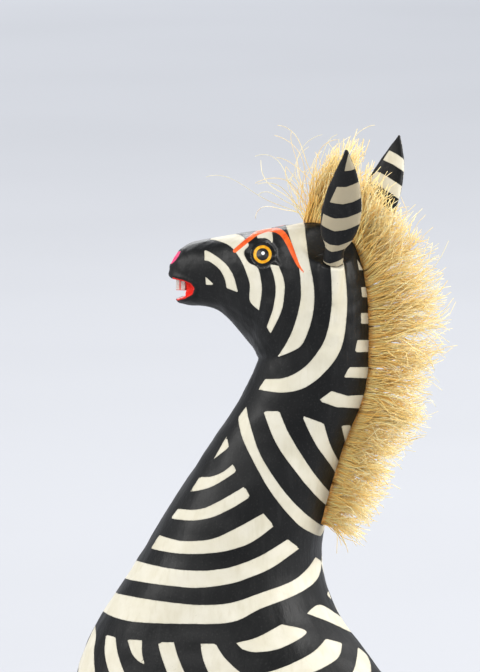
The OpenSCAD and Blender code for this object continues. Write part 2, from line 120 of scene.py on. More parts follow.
def from_mesh(mesh, scale=1.0):
    co = np.zeros(len(mesh.vertices) * 3)
    mesh.vertices.foreach_get("co", co)
    loops = np.zeros(len(mesh.loops), int)
    mesh.loops.foreach_get("vertex_index", loops)
    starts = np.zeros(len(mesh.polygons), int)
    mesh.polygons.foreach_get("loop_start", starts)
    ends = np.append(starts[1:], len(loops))
    loops = loops.tolist()
    return Solid(co.reshape(-1, 3) * scale, [loops[a:b] for a, b in zip(starts.tolist(), ends.tolist())])


def with_modifier(solid, kind, other=None, **settings):
    """The mesh after one modifier; other is the boolean's cutter."""
    obj = to_object(solid, "work")
    mod = obj.modifiers.new("work", kind)
    extra = None
    if other is not None:
        extra = to_object(other, "cutter")
        mod.object = extra
    for key, value in settings.items():
        setattr(mod, key, value)
    mesh = bpy.data.meshes.new_from_object(obj.evaluated_get(bpy.context.evaluated_depsgraph_get()))
    out = from_mesh(mesh)
    for o in (obj, extra):
        if o is not None:
            data = o.data
            bpy.data.objects.remove(o)
            bpy.data.meshes.remove(data)
    bpy.data.meshes.remove(mesh)
    return out


def remesh(solid, voxel):
    return with_modifier(solid, "REMESH", mode="VOXEL", voxel_size=voxel)


def boolean(solid, cutter, operation):
    return with_modifier(solid, "BOOLEAN", cutter, operation=operation, solver="MANIFOLD")


def cad(name):
    """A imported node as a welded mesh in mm."""
    bm = bmesh.new()
    bm.from_mesh(NODES[name].data)
    bmesh.ops.remove_doubles(bm, verts=bm.verts, dist=1e-6)
    mesh = bpy.data.meshes.new("cad")
    bm.to_mesh(mesh)
    bm.free()
    out = from_mesh(mesh, 1 / MM)
    bpy.data.meshes.remove(mesh)
    return out


def join(solids):
    points, faces, base = [], [], 0
    for s in solids:
        points.append(s.points)
        faces += [[i + base for i in f] for f in s.faces]
        base += len(s.points)
    return Solid(np.vstack(points), faces)


def smooth(solid, rounds, keep=None):
    """Evens out the facets without shrinking; keep is each point's share of the movement."""
    e = solid.edges()
    n = len(solid.points)
    count = (np.bincount(e[:, 0], minlength=n) + np.bincount(e[:, 1], minlength=n))[:, None]
    p = solid.points.copy()
    share = 1.0 if keep is None else keep[:, None]
    for _ in range(rounds):
        for step in (0.50, -0.52):
            total = np.stack([np.bincount(e[:, 0], p[e[:, 1], c], n) + np.bincount(e[:, 1], p[e[:, 0], c], n)
                              for c in range(3)], 1)
            p += step * share * (total / count - p)
    return Solid(p, solid.faces)


def prism(outline, direction, depth, centred=True):
    """An outline of 3D points pushed along a direction."""
    outline = np.array(outline, float)
    d = np.array(direction, float) * depth
    low = outline - d / 2 if centred else outline
    n = len(outline)
    faces = [list(range(n))[::-1], list(range(n, 2 * n))]
    faces += [[i, (i + 1) % n, n + (i + 1) % n, n + i] for i in range(n)]
    out = Solid(np.vstack([low, low + d]), faces)
    volume = np.sum(np.einsum("ij,ij->i", out.points[out.triangles()[:, 0]],
                              np.cross(out.points[out.triangles()[:, 1]], out.points[out.triangles()[:, 2]])))
    if volume < 0:
        out.faces = [f[::-1] for f in out.faces]
    return out


def axis_frame(axis):
    """Unit axis with two directions across it; the first lies in the middle plane where it can."""
    a = np.array(axis, float) / np.linalg.norm(axis)
    side = np.array([0.0, a[2], -a[1]])
    side = side / np.linalg.norm(side) if np.linalg.norm(side) > 1e-6 else np.array([0.0, 1.0, 0.0])
    return np.cross(side, a), side, a


def rod(start, end, radius, sides=40):
    axis = np.array(end, float) - start
    x, y, _ = axis_frame(axis)
    turn = np.linspace(0, 2 * math.pi, sides, endpoint=False)[:, None]
    ring = np.array(start) + radius * (np.cos(turn) * x + np.sin(turn) * y)
    return prism(ring, axis, 1.0, centred=False)


def pin_of(points):
    """Ends and radius of a round pin from its mesh points."""
    mid = points.mean(0)
    axis = np.linalg.svd(points - mid, full_matrices=False)[2][0]
    along = (points - mid) @ axis
    radius = np.linalg.norm(points - mid - along[:, None] * axis, axis=1).max()
    return mid + axis * along.min(), mid + axis * along.max(), radius


def halves(points):
    """A mirrored node's points: the left side's, then the right side's."""
    return points[points[:, 1] < 0], points[points[:, 1] > 0]


# ---------------------------------------------------------------- paint layout
def curve(points, per=6):
    """A smooth line through the points."""
    p = np.array(points, float)
    if len(p) < 3:
        return p
    out = []
    for i in range(len(p) - 1):
        a, b, c, d = p[max(i - 1, 0)], p[i], p[i + 1], p[min(i + 2, len(p) - 1)]
        for t in np.arange(per) / per:
            out.append(0.5 * (2 * b + (c - a) * t + (2 * a - 5 * b + 4 * c - d) * t * t
                              + (3 * b - a - 3 * c + d) * t ** 3))
    return np.array(out + [p[-1]])


def edge_distance(points, a, b):
    """Distance of each point to the nearest of the segments a-b, and which one."""
    best = np.full(len(points), 1e9)
    which = np.zeros(len(points), int)
    for k in range(len(a)):
        d = b[k] - a[k]
        t = np.clip(((points - a[k]) @ d) / max(d @ d, 1e-12), 0, 1)
        r = np.linalg.norm(points - a[k] - t[:, None] * d, axis=1)
        near = r < best
        best[near], which[near] = r[near], k
    return best, which


def inside(points, a, b):
    """Whether each point is within the closed outline of the segments a-b."""
    crossed = np.zeros(len(points), bool)
    for k in range(len(a)):
        (x0, y0), (x1, y1) = a[k], b[k]
        if y0 == y1:
            continue
        hit = (y0 > points[:, 1]) != (y1 > points[:, 1])
        x = x0 + (points[:, 1] - y0) / (y1 - y0) * (x1 - x0)
        crossed ^= hit & (points[:, 0] < x)
    return crossed


FAR_OUT = -3.0  # distances to the paint edge are kept up to this far, in mm


def patches(points, outlines):
    """Signed distance in mm to the nearest painted patch, positive inside."""
    field = np.full(len(points), FAR_OUT)
    for line in outlines:
        a, b = line, np.roll(line, -1, 0)
        near = np.all((points > line.min(0) + FAR_OUT) & (points < line.max(0) - FAR_OUT), axis=1)
        if near.any():
            q = points[near]
            d = edge_distance(q, a, b)[0]
            field[near] = np.maximum(field[near], np.where(inside(q, a, b), d, -d))
    return field


# cream bands of the side view: the two long edges of each, rounded between the points given
BANDS = [
    # muzzle
    (((-34.5, 248.7), (-32, 247.5), (-28.5, 244.8), (-26.3, 241.7), (-25.2, 238.5), (-24.6, 236.1)),
     ((-34.5, 245.6), (-32.7, 245.1), (-30, 242.8), (-28.5, 240), (-27.9, 237.4))),
    # in front of the eye
    (((-33, 251.9), (-30.5, 251.4), (-26.8, 249.7), (-24, 246), (-22.3, 242.4), (-21.1, 238.4),
      (-21.1, 233.6), (-18.4, 230.8)),
     ((-29, 254.5), (-23.8, 253), (-22.5, 251.8), (-21.4, 250), (-22.8, 248), (-21.5, 245), (-18.8, 243.3),
      (-17.8, 239.5), (-17.6, 236), (-18.4, 230.8))),
    # above the eye
    (((-19.3, 257), (-18.9, 252.1)),
     ((-15.1, 258), (-14.4, 253), (-14.4, 250.5), (-15.2, 251.4), (-16.6, 252.1), (-18.9, 252.1))),
    # below the eye
    (((-15.2, 244.3), (-14.1, 241), (-13.5, 237), (-14.1, 231.8), (-16.1, 225.9)),
     ((-12.6, 243.9), (-11.1, 239.8), (-10.9, 236.2), (-11.8, 230.5), (-15, 223.9))),
    # behind the eye
    (((-10.9, 260), (-10.6, 256.6), (-9.2, 252), (-7.1, 245.5), (-6.2, 239.8), (-6.2, 233.4), (-8.1, 226),
      (-10.7, 220.4), (-13.2, 216.8)),
     ((-5.2, 261), (-5, 256.8), (-4, 247.5), (-2.2, 236.8), (-2.7, 229), (-4.6, 223), (-6.9, 219.6),
      (-13.2, 216.8))),
    # ear to throat
    (((2.4, 246.5), (3, 236.5), (2.7, 229.5), (0.9, 222), (-3, 216), (-7.2, 212.4), (-11.6, 210.7),
      (-16.5, 210.5)),
     ((6.3, 245.8), (7.2, 239), (7.5, 230.7), (6, 220.2), (1.8, 213.4), (-4.5, 208.2), (-11.4, 206.5),
      (-18.6, 207.4))),
    # neck, long ones
    (((-22.1, 202.4), (-21.3, 198), (-18.6, 189.5), (-15.3, 183.5), (-10.2, 176.3), (-4.3, 170.3),
      (1.2, 166.2)),
     ((-24.6, 199), (-23.2, 192.8), (-18.9, 184), (-14.1, 176), (-7.4, 168), (-2.4, 164.6), (0.8, 163.4))),
    (((-17.1, 201), (-13.6, 192), (-8.2, 184), (-2.2, 176.6), (2.2, 172.4)),
     ((-12.4, 201), (-9.6, 194.4), (-4.5, 186), (-0.6, 180.6), (3, 176.4))),
    (((-5.8, 199.8), (-1.8, 191.5), (2.1, 186), (4.6, 182.2)), ((0.7, 197.4), (2.7, 191), (5.7, 185.2))),
    (((6, 196.7), (7.5, 190.4)), ((8.6, 196.8), (9.6, 194))),
    # front of the neck, from the top
    (((-27.9, 193.5), (-32, 186.5)), ((-27.3, 190.3), (-32.1, 186.5))),
    (((-26, 185.4), (-29, 183), (-32.5, 181.6), (-36, 181.4)),
     ((-25.1, 183.2), (-30, 179.9), (-34, 178), (-38.7, 177))),
    (((-22.7, 178.7), (-29, 175), (-34, 172.5), (-38, 171.7), (-42.4, 172)),
     ((-21, 175.7), (-27, 172), (-32.4, 169.6), (-38, 168.6), (-44.6, 169))),
    (((-17.1, 170.8), (-24, 167), (-31, 163.6), (-36.3, 162.6), (-42, 162.6), (-48, 164)),
     ((-13.9, 167.1), (-20, 162.6), (-26, 160.2), (-33, 159), (-42, 158.8), (-50.5, 160))),
    (((-9.9, 163.1), (-18, 158.2), (-26, 155.1), (-32, 154), (-37, 153.8), (-45, 154.4), (-56, 156.4)),
     ((-6.4, 160.3), (-14, 155), (-20, 152.3), (-27, 150), (-36.3, 148.8), (-45, 149.3), (-60, 151))),
    (((-1.5, 157.4), (-4.5, 153.6), (-9, 150.4), (-18, 147.2), (-27, 144.3), (-36.3, 143.7), (-46, 144.5),
      (-62, 146.6)),
     ((0.4, 156), (-0.6, 151.6), (-4, 148.4), (-10, 145.5), (-18, 142.6), (-26.5, 138.7), (-40, 138.1),
      (-57, 138.6), (-66, 141.2))),
    # chest, outermost
    (((-67.3, 136.6), (-67, 133.5), (-67.5, 128.7), (-67, 121), (-65.5, 113)),
     ((-67.5, 137.2), (-70.2, 131), (-72, 126), (-72.6, 120), (-72.5, 112))),
    # third U
    (((-63.9, 134.3), (-64.2, 128.7), (-62.4, 122), (-58, 113), (-50, 104), (-38, 98.5), (-22, 96.5),
      (-6, 97.5), (8, 102), (18, 109), (24, 116.5)),
     ((-61, 133.7), (-60.3, 129), (-57.9, 122.5), (-53.5, 114.5), (-46.5, 107.5), (-36, 103), (-22, 101),
      (-6, 102), (6, 106), (15, 112), (21, 118.5))),
    # short one on the chest
    (((-57.4, 133.2), (-56, 129), (-54, 126.8)), ((-53, 133), (-53, 129.2), (-52.2, 125.7))),
    # second U
    (((-48.3, 132.6), (-46.8, 127), (-43, 119), (-36, 111.5), (-25, 107.5), (-12, 107.5), (0, 110), (10, 116),
      (14.7, 122.4), (14.3, 127.3), (11.1, 130.5)),
     ((-43.6, 132.6), (-42.2, 128), (-39, 121.5), (-33, 115.5), (-24, 112.5), (-12, 112.8), (-2, 115),
      (6, 119.5), (9.6, 124), (10.8, 128), (11.1, 130.5))),
    # first U
    (((-35.7, 132.3), (-34.8, 127.5), (-32.2, 122), (-28, 118.6), (-21, 117.2), (-13, 119), (-6, 122.3),
      (1.5, 125.6), (5.4, 128.3), (6.3, 132)),
     ((-31.2, 132.3), (-28.5, 128.2), (-24, 124), (-21, 123.2), (-13, 124.8), (-3, 129.3), (1.5, 133.5))),
    # short ones on the back
    (((-25.2, 132.6), (-19, 134.2), (-11.7, 138)),
     ((-23.4, 130.8), (-19.5, 129.9), (-12, 131), (-4.2, 135.6), (-11.7, 138))),
    (((-4.2, 141), (-0.6, 143.4), (3.9, 141), (10, 136)), ((-4.2, 141), (3, 138), (10.5, 134))),
    (((2.4, 147.6), (3.4, 145)), ((2, 146), (3.4, 144.4))),
    # lower trunk
    (((-72.5, 112), (-70, 104), (-62, 95.5), (-50, 90), (-34, 87), (-16, 86), (2, 88), (18, 93), (30, 100),
      (38, 107)),
     ((-66.5, 118), (-64, 110), (-58, 101.5), (-48, 95.3), (-34, 92), (-16, 91), (0, 93), (15, 98), (26, 105),
      (33, 111))),
    (((-69, 92), (-58, 85), (-42, 79), (-24, 76), (-4, 76), (14, 79), (30, 86), (44, 94.5)),
     ((-71, 98), (-60, 90.5), (-44, 84.5), (-24, 81.3), (-4, 81.3), (12, 84.3), (27, 91), (41, 99.5))),
    (((-44, 64), (-24, 62), (-4, 62), (14, 65), (30, 72), (47, 81)),
     ((-45, 70), (-24, 67.5), (-4, 67.5), (13, 70.5), (28, 77), (45, 86)))]

# small straight-edged cream patches, most of them along the mane
CHIPS = [
    ((-34.2, 240.8), (-34.1, 238.4), (-31.6, 238.3)), ((10.5, 246), (12.3, 242.6), (11.1, 242.7)),
    ((11.7, 237.6), (18, 238), (18, 235), (12.1, 234.6)), ((11.7, 230), (18, 230), (18, 227), (11.7, 226.8)),
    ((10.5, 222), (18, 222), (18, 218.6), (9.9, 218.4)), ((8.2, 214), (18, 214), (18, 210.5), (6.6, 211)),
    ((-0.9, 204.1), (3, 207), (7.8, 205.5), (17, 206), (15, 201.6), (4.6, 202.2))]

# brow stroke: u, w and half its width
BROW = [(-25.5, 248.4, 0.6), (-21.9, 251.4, 0.65), (-18.6, 253.8, 0.65), (-15, 254.7, 0.7),
        (-12, 253.9, 0.85), (-10, 251.2, 0.8), (-8.3, 247.4, 0.65), (-6.9, 244.2, 0.4), (-5.4, 242.1, 0.22)]
NOSTRIL = [(-41.6, 248.4), (-42.2, 247), (-43.2, 245.6), (-44.3, 244.6), (-46.5, 244.9), (-46, 247),
           (-43.4, 248.2)]
EYE = np.array([-17.35, 247.3])
EYE_RING = 2.68
PUPIL = 1.84
EYELID = [(-22.5, 248), (-21.4, 245.6), (-19.3, 244.2), (-16.8, 243.7), (-14.2, 244.5), (-12.3, 244.1),
          (-13.3, 246.2), (-13.6, 248.6), (-14.8, 250.6), (-17.3, 251.8), (-19.8, 251.2), (-21.4, 249.8)]
LIP_FRONT = -44.2  # the red ends here, behind the muzzle's front
LIP_RIM = 0.40
BROW_GAP, NOSTRIL_GAP = 1.3, 2.0  # left and right paint stop this far from the middle
# open mouth in side view, x and z in the carving's own axes
MOUTH = [(-52, 242), (-43.8, 241.4), (-40.7, 241), (-38.1, 240.2), (-37.2, 239), (-38.1, 237.3),
         (-40.7, 235.9), (-43.5, 235), (-52, 234.2)]

# cream on an ear, mm across (to the back edge) and along from its seat
EAR_PATCHES = [
    ((-0.2, 40), (-0.4, 30.8), (1.6, 31.4), (3.4, 32.7), (6, 34), (6, 40)),
    ((-1.8, 25.4), (1.1, 26.2), (5.3, 28.9), (8, 30.3), (8, 24.8), (6.2, 23.7), (3.4, 21.8), (0.9, 20.7),
     (-3.2, 20)),
    ((-4.8, 15.5), (-0.7, 15.5), (3, 16.9), (6.5, 19.1), (9, 20.4), (9, 16.2), (6.2, 14.8), (3, 12.8),
     (-0.2, 11.5), (-5, 11.8)),
    ((-6, 7.3), (-4.6, 7.2), (-1, 6.7), (1.6, 7.2), (4.1, 8.6), (7, 10), (7, 7.6), (3.7, 6.1), (-0.2, 4.6),
     (-4.2, 4.9), (-6, 5)),
    ((-5, 1.6), (-3.7, 1.4), (-2.6, 0.5), (-0.2, 0.8), (2.8, 2.4), (5, 3.4), (5, 1.4), (2.9, 0.5), (0, -1),
     (-5, -1))]
# the same on the ear's inner side
EAR_INNER = [
    ((-0.9, 31.6), (1.5, 31.2), (3.7, 30.5), (6, 29.6), (8, 29), (8, 25.4), (4.7, 27), (1.6, 27.9),
     (-1.6, 28.3)),
    ((-2.6, 24.6), (1, 24), (5, 22.9), (9, 21.6), (9, 17.6), (5, 19.2), (1, 20.3), (-3.6, 20.8)),
    ((-4.4, 16.4), (1, 15.6), (9, 13.4), (9, 10), (1, 12.2), (-5, 13)),
    ((-6, 8.6), (1, 7.8), (8, 6.4), (8, 3.8), (1, 5), (-6, 5.6))]


def outlines_of(bands, chips):
    return [np.vstack([curve(a), curve(b)[::-1]]) for a, b in bands] + [np.array(c, float) for c in chips]


def softened(field):
    return np.clip(field, FAR_OUT, -FAR_OUT)


def ripple(points, size, count=14, seed=5):
    """Slow random unevenness of a surface, about -1 to 1, with waves of the given size in mm."""
    rng = np.random.default_rng(seed)
    out = np.zeros(len(points))
    for _ in range(count):
        k = rng.normal(size=3)
        k *= 2 * math.pi / (size * rng.uniform(0.7, 1.5) * np.linalg.norm(k))
        out += np.sin(points @ k + rng.uniform(0, 2 * math.pi))
    return out / math.sqrt(count)


# ---------------------------------------------------------------- the carved body
BODY_VOXEL, HEAD_VOXEL, EAR_VOXEL, TAIL_VOXEL, TEETH_VOXEL = 0.95, 0.42, 0.34, 0.5, 0.16
FAR = 300.0       # past the whole figure
PIN_GAP = 0.05    # between a dowel or peg and its hole
PIN_END = 0.5     # how much deeper the hole of a dowel is
FILL = 0.3        # how far a filler overlaps the hole that it closes

neck_pin = pin_of(cad("neck_dowel").points)
neck_mid = (neck_pin[0] + neck_pin[1]) / 2
neck_axis = (neck_pin[1] - neck_pin[0]) / np.linalg.norm(neck_pin[1] - neck_pin[0])
neck_axis = neck_axis if neck_axis[2] > 0 else -neck_axis
foreleg_pins = [pin_of(p) for p in halves(cad("foreleg_dowels").points)]
hindleg_pins = [pin_of(p) for p in halves(cad("hindleg_dowels").points)]


def seat_of(joint):
    """Seat point in mm, axis and the two directions across it."""
    seat = np.array(JOINTS[joint]["pos_m"]) / MM
    return (seat,) + axis_frame(JOINTS[joint]["axis"])


EARS = {side: seat_of(side + "_ear_turn") for side in ("left", "right")}
TAIL = seat_of("tail_turn")
ear_pins = {side: pin_of(cad(side + "_ear_peg").points) for side in EARS}
tail_pin = pin_of(cad("tail_peg").points)


def hole(pin, gap, longer):
    """A rod a little wider and longer than a pin."""
    a, b, radius = pin
    axis = (b - a) / np.linalg.norm(b - a)
    return rod(a - axis * longer, b + axis * longer, radius + gap)


def inner_end(pin, seat, axis):
    return min(pin[:2], key=lambda q: (q - seat) @ axis)


def plug(pin, seat, axis):
    """Fills the hole of a loose pin up to its seat."""
    return rod(inner_end(pin, seat, axis) - axis, seat, pin[2] + 0.2)


def drilled(solid, pin, seat_of_pin, radius, rise):
    """Clears the round seat of a loose piece, and cuts the hole of its pin."""
    seat, _, _, a = seat_of_pin
    solid = boolean(solid, rod(seat, seat + rise * a, radius), "DIFFERENCE")
    low = inner_end(pin, seat, a)
    return boolean(solid, rod(low - 0.3 * a, seat + 4 * a, pin[2] + PIN_GAP), "DIFFERENCE")


# the mane's root line, from the corner points of its tufts
TUFTS = ["mane_%02d" % (i + 1) for i in range(20)]


def tuft_rows(name):
    """Corners of a tuft's right side in rows from root to tip: groove floor, skin, middle and tip."""
    p = cad(name).points
    p = p[p[:, 1] > 0]
    widths = np.round(p[:, 1], 1)
    root, mid, tip = [p[widths == w] for w in sorted(set(widths))[:3]]
    order = np.argsort(-np.linalg.norm(root - mid.mean(0), axis=1))
    return [root[order[:2]], root[order[2:]], mid, tip]


def ordered_rows():
    """The rows of all tufts, each row's two corners in order along the mane."""
    rows = [tuft_rows(n) for n in TUFTS]
    mids = [r[1].mean(0) for r in rows]
    out = []
    for i, tuft in enumerate(rows):
        step = mids[min(i + 1, len(mids) - 1)] - mids[max(i - 1, 0)]
        out.append([q[np.argsort(q @ step)] for q in tuft])
    return out


MANE = ordered_rows()
TUFT_SKIN_RISE = 0.4
GROOVE_HALF = MANE[0][0][0][1] + 0.3


def mane_prism(low_rise, high_rise, half_width):
    """A band along the mane line, between two heights measured from the tufts' skin row."""
    low, high = [], []
    for tuft in MANE:
        for k in (0, 1):
            inner, skin = tuft[0][k].copy(), tuft[1][k].copy()
            out = (skin - inner) / np.linalg.norm(skin - inner)
            low.append((skin + out * low_rise) * [1, 0, 1])
            high.append((skin + out * high_rise) * [1, 0, 1])
    return prism(low + high[::-1], (0, 1, 0), 2 * half_width)


ABOVE_SKIN = 3.5
groove_depth = np.linalg.norm(MANE[5][1][0] - MANE[5][0][0]) + 0.3
groove_fill = mane_prism(-groove_depth - 0.4, -TUFT_SKIN_RISE - 0.05, GROOVE_HALF + 0.15)
groove_cut = mane_prism(-groove_depth, ABOVE_SKIN, GROOVE_HALF)

# what closes the CAD's holes and groove before the remesh; the first four are in the head's part
fillers = [rod(neck_pin[0], neck_pin[1], neck_pin[2] + FILL), groove_fill]
fillers += [plug(ear_pins[s], EARS[s][0], EARS[s][3]) for s in EARS]
fillers += [hole(p, FILL, 0.8) for p in foreleg_pins + hindleg_pins]
fillers.append(plug(tail_pin, TAIL[0], TAIL[3]))


def half_space(point, axis, sign):
    """A big block on one side of a plane."""
    x, y, a = axis_frame(axis)
    corners = [point + sx * FAR * x + sy * FAR * y for sx, sy in ((-1, -1), (1, -1), (1, 1), (-1, 1))]
    return prism(corners, a * sign, FAR, centred=False)


NECK_SHARE = 16.0  # how much of the neck is carved with the head, for an even skin at the joint
MUZZLE_FRONT = (43.0, 45.5)
LEGS = ["left_foreleg", "right_foreleg", "left_hindleg", "right_hindleg"]

head_cad, torso_cad = cad("head"), cad("torso")
near_head = boolean(torso_cad, half_space(neck_mid - neck_axis * NECK_SHARE, neck_axis, 1), "INTERSECT")
fine = remesh(join([head_cad, near_head] + fillers[:4]), HEAD_VOXEL)
in_carving = fine.points - [SHIFT, 0, 0]
mouth_line = np.array(MOUTH, float)
mouth_gap = edge_distance(in_carving[:, [0, 2]], mouth_line, np.roll(mouth_line, -1, 0))[0]
front_lip = smoothstep(-in_carving[:, 0], *MUZZLE_FRONT)
fine = smooth(fine, 34, keep=0.18 + 0.82 * np.maximum(smoothstep(mouth_gap, 0.6, 3.0), front_lip))

coarse = smooth(remesh(join([torso_cad, head_cad] + [cad(n) for n in LEGS] + fillers), BODY_VOXEL), 26)


# ---------------------------------------------------------------- carving marks
SOCKET_DEPTH, EYEBALL_RISE, EYEBALL_RADIUS, LID_ROLL = 0.50, 0.95, 3.5, 0.14
BROW_RISE, BROW_WIDTH = 0.42, 1.5
NOSTRIL_DEPTH, NOSTRIL_ROLL, LIP_ROLL = 0.35, 0.10, 0.28
DISH_RADIUS, DISH_CURVE, DISH_BLEND, DISH_REACH = 5.4, 0.07, 0.5, 16.0


def bead(gap, width):
    """A rounded ridge or groove where the gap is 0."""
    return np.exp(-(gap / width) ** 2)


def carve_head(solid):
    """Eye sockets, eyeballs, brows, nostrils and lips, cut in relief along the normals."""
    p, n = solid.points, solid.normals()
    flat = paint_plane(p.copy())
    side_on = np.abs(n[:, 1])
    lid = patches(flat, [curve(EYELID + EYELID[:1])[:-1]])
    r = np.linalg.norm(flat - EYE, axis=1)
    facing = smoothstep(side_on, 0.35, 0.6)
    lift = -SOCKET_DEPTH * smoothstep(lid, -0.6, 1.0) * facing
    lift += EYEBALL_RISE * np.sqrt(np.clip(1 - (r / EYEBALL_RADIUS) ** 2, 0, 1)) * facing
    lift += LID_ROLL * bead(lid + 0.75, 0.6) * facing
    brow = curve([b[:2] for b in BROW])
    d = edge_distance(flat, brow[:-1], brow[1:])[0]
    lift += BROW_RISE * bead(d, BROW_WIDTH) * smoothstep(side_on, 0.1, 0.4)
    nostril = patches(flat, [np.array(NOSTRIL, float)])
    hollow = NOSTRIL_ROLL * bead(nostril + 0.7, 0.5) - NOSTRIL_DEPTH * smoothstep(nostril, -0.3, 0.9)
    lift += hollow * (n[:, 0] < 0.3)
    lift += LIP_ROLL * bead(mouth_gap - 0.9, 0.6) * (side_on > 0.3)
    lift += 0.10 * ripple(p, 9.0) + 0.05 * ripple(p, 4.0, seed=9)
    p = p + lift[:, None] * n
    # a shallow dish round each ear's foot lets it turn
    for seat, _, _, a in EARS.values():
        along = (p - seat) @ a
        out = np.linalg.norm(p - seat - along[:, None] * a, axis=1)
        bowl = DISH_CURVE * np.maximum(out - DISH_RADIUS, 0) ** 2
        level = -DISH_BLEND * np.logaddexp(-bowl / DISH_BLEND, -np.clip(along, -20, 20) / DISH_BLEND)
        near = (out < DISH_REACH) & (along < 12) & (along > -3) & (p[:, 1] * seat[1] > 0)
        lower = np.where(near, along - level, 0)
        p = p - (lower * smoothstep(-out, -DISH_REACH, -12))[:, None] * a
    return Solid(p, solid.faces)


fine = carve_head(fine)
uneven = 0.16 * ripple(coarse.points, 22.0, seed=3) + 0.09 * ripple(coarse.points, 9.0)
coarse.points += uneven[:, None] * coarse.normals()

# near the neck joint the trunk takes the head's finer skin, so the seam doesn't show
SEAM_LOW, SEAM_HIGH, SEAM_GAP = -13.0, 6.0, 2.5
tree = BVHTree.FromPolygons(fine.points.tolist(), fine.faces)
depth = (coarse.points - neck_mid) @ neck_axis
for i in np.nonzero((depth > SEAM_LOW) & (depth < SEAM_HIGH))[0]:
    found = tree.find_nearest(Vector(coarse.points[i]))
    if found[0] is not None and found[3] < SEAM_GAP:
        share = float(smoothstep(depth[i], SEAM_LOW + 1, -5))
        coarse.points[i] += share * (np.array(found[0]) - coarse.points[i])
coarse.points[:, 2] = np.maximum(coarse.points[:, 2], 0)

# ---------------------------------------------------------------- split into the real pieces
EAR_SEAT_RADIUS, EAR_SEAT_RISE = 5.7, 14.0
TAIL_SEAT_RADIUS, TAIL_SEAT_RISE = 5.0, 12.0
TEETH_GAP, TEETH_SLOT = 0.1, 2.3
FORELEG_WALL = 24.0   # from the dowel's middle to the wall behind the leg
FORELEG_STEP = 5.8
HIND_FOOT_TOP = 18.9

above_neck = half_space(neck_mid, neck_axis, 1)
neck_hole = hole(neck_pin, PIN_GAP, PIN_END)

head = boolean(fine, above_neck, "INTERSECT")
head = boolean(boolean(head, groove_cut, "DIFFERENCE"), neck_hole, "DIFFERENCE")
for side in EARS:
    head = drilled(head, ear_pins[side], EARS[side], EAR_SEAT_RADIUS, EAR_SEAT_RISE)
teeth_cad = cad("upper_teeth")
slot_low, slot_high = teeth_cad.points.min(0) - TEETH_GAP, teeth_cad.points.max(0) + TEETH_GAP
slot_low[2] = slot_high[2] - TEETH_SLOT
box_ring = [(slot_low[0], slot_low[1], slot_low[2]), (slot_high[0], slot_low[1], slot_low[2]),
            (slot_high[0], slot_high[1], slot_low[2]), (slot_low[0], slot_high[1], slot_low[2])]
head = boolean(head, prism(box_ring, (0, 0, 1), slot_high[2] - slot_low[2], centred=False), "DIFFERENCE")


def foreleg_cutter(sign):
    """The room of a foreleg under the chest: a wall behind it and a face square to its dowel."""
    a, b, _ = foreleg_pins[0 if sign < 0 else 1]
    mid, axis = (a + b) / 2, (b - a) / np.linalg.norm(b - a)
    axis = axis if axis[2] > 0 else -axis
    along = np.array([axis[2], 0, -axis[0]])
    corner = mid + FORELEG_WALL * along
    under = corner - FORELEG_STEP * axis
    ring = [mid - 60 * along, corner, under, under + [-1, 0, -7], under + [1, 0, -60], mid + [-90, 0, -75]]
    ring = [q * [1, 0, 1] + [0, sign * 3, 0] for q in ring]
    return prism(ring, (0, sign, 0), 60, centred=False)


def hindleg_cutter(node, sign):
    """The room of a haunch and its hind foot, out from the haunch's flat inner face."""
    p = cad(node).points
    inner = np.abs(p[:, 1]).min()
    rim = p[np.abs(np.abs(p[:, 1]) - inner) < 0.02]
    mid = rim.mean(0)
    angle = np.arctan2(rim[:, 2] - mid[2], rim[:, 0] - mid[0])
    radius = np.linalg.norm((rim - mid)[:, [0, 2]], axis=1)
    rim = rim[radius > 10]
    rim = rim[np.argsort(angle[radius > 10])]
    haunch = prism(rim, (0, sign, 0), 40, centred=False)
    low, high = p.min(0) - 4, p.max(0) + 4
    y = sign * (inner + 0.5)
    foot = prism([(x, y, z) for x, z in ((low[0], -4), (high[0], -4), (high[0], HIND_FOOT_TOP),
                                         (low[0], HIND_FOOT_TOP))], (0, sign, 0), 40, centred=False)
    return boolean(haunch, foot, "UNION")


body = boolean(coarse, above_neck, "DIFFERENCE")
pieces = {"head": head}
for side, sign in (("left", -1), ("right", 1)):
    pins = foreleg_pins[0 if sign < 0 else 1], hindleg_pins[0 if sign < 0 else 1]
    for name, cutter, pin in ((side + "_foreleg", foreleg_cutter(sign), pins[0]),
                              (side + "_hindleg", hindleg_cutter(side + "_hindleg", sign), pins[1])):
        part = boolean(body, cutter, "INTERSECT")
        pieces[name] = boolean(part, hole(pin, PIN_GAP, PIN_END), "DIFFERENCE")
        body = boolean(body, cutter, "DIFFERENCE")
for pin in foreleg_pins + hindleg_pins + [neck_pin]:
    body = boolean(body, hole(pin, PIN_GAP, PIN_END), "DIFFERENCE")
body = boolean(body, groove_cut, "DIFFERENCE")
pieces["torso"] = drilled(body, tail_pin, TAIL, TAIL_SEAT_RADIUS, TAIL_SEAT_RISE)


# ---------------------------------------------------------------- paint as distances on the pieces
SIDE_OUTLINES = outlines_of(BANDS, CHIPS)
HAUNCH_MID = (27.75, 35.0)
HAUNCH_ARCS = (8.0, 17.5, 27.0)
FORELEG_RINGS = (64.0, 54.0, 45.0, 36.5, 28.0)
HINDFOOT_RINGS = (-9.0, 2.0, 13.0)
TAIL_RINGS = (5.5, 12.0, 18.5)
CHEST_TOP = 136.0
CHEST_BLACK = 12.5  # half width of the black strip behind the chest bars
# short bars across the middle: heights, half height, half width and how much they sag
CHEST_BARS = (129.0, 119.0, 109.0, 99.0, 89.0), 2.6, 10.0, 0.02
RUMP_BARS = (73.0, 62.0, 51.0, 29.0, 19.0, 9.0), 2.9, 27.0, 0.006
# painted shade: the cream is darkened to tan on the ear's outer face and beside the mane (there warmed as the
# fibre's reflected light); on the tail it is an even tan tint
EAR_SHADE, TAIL_TAN, MANE_SHADE = 0.9, 0.3, 0.40  # how far the cream has darkened


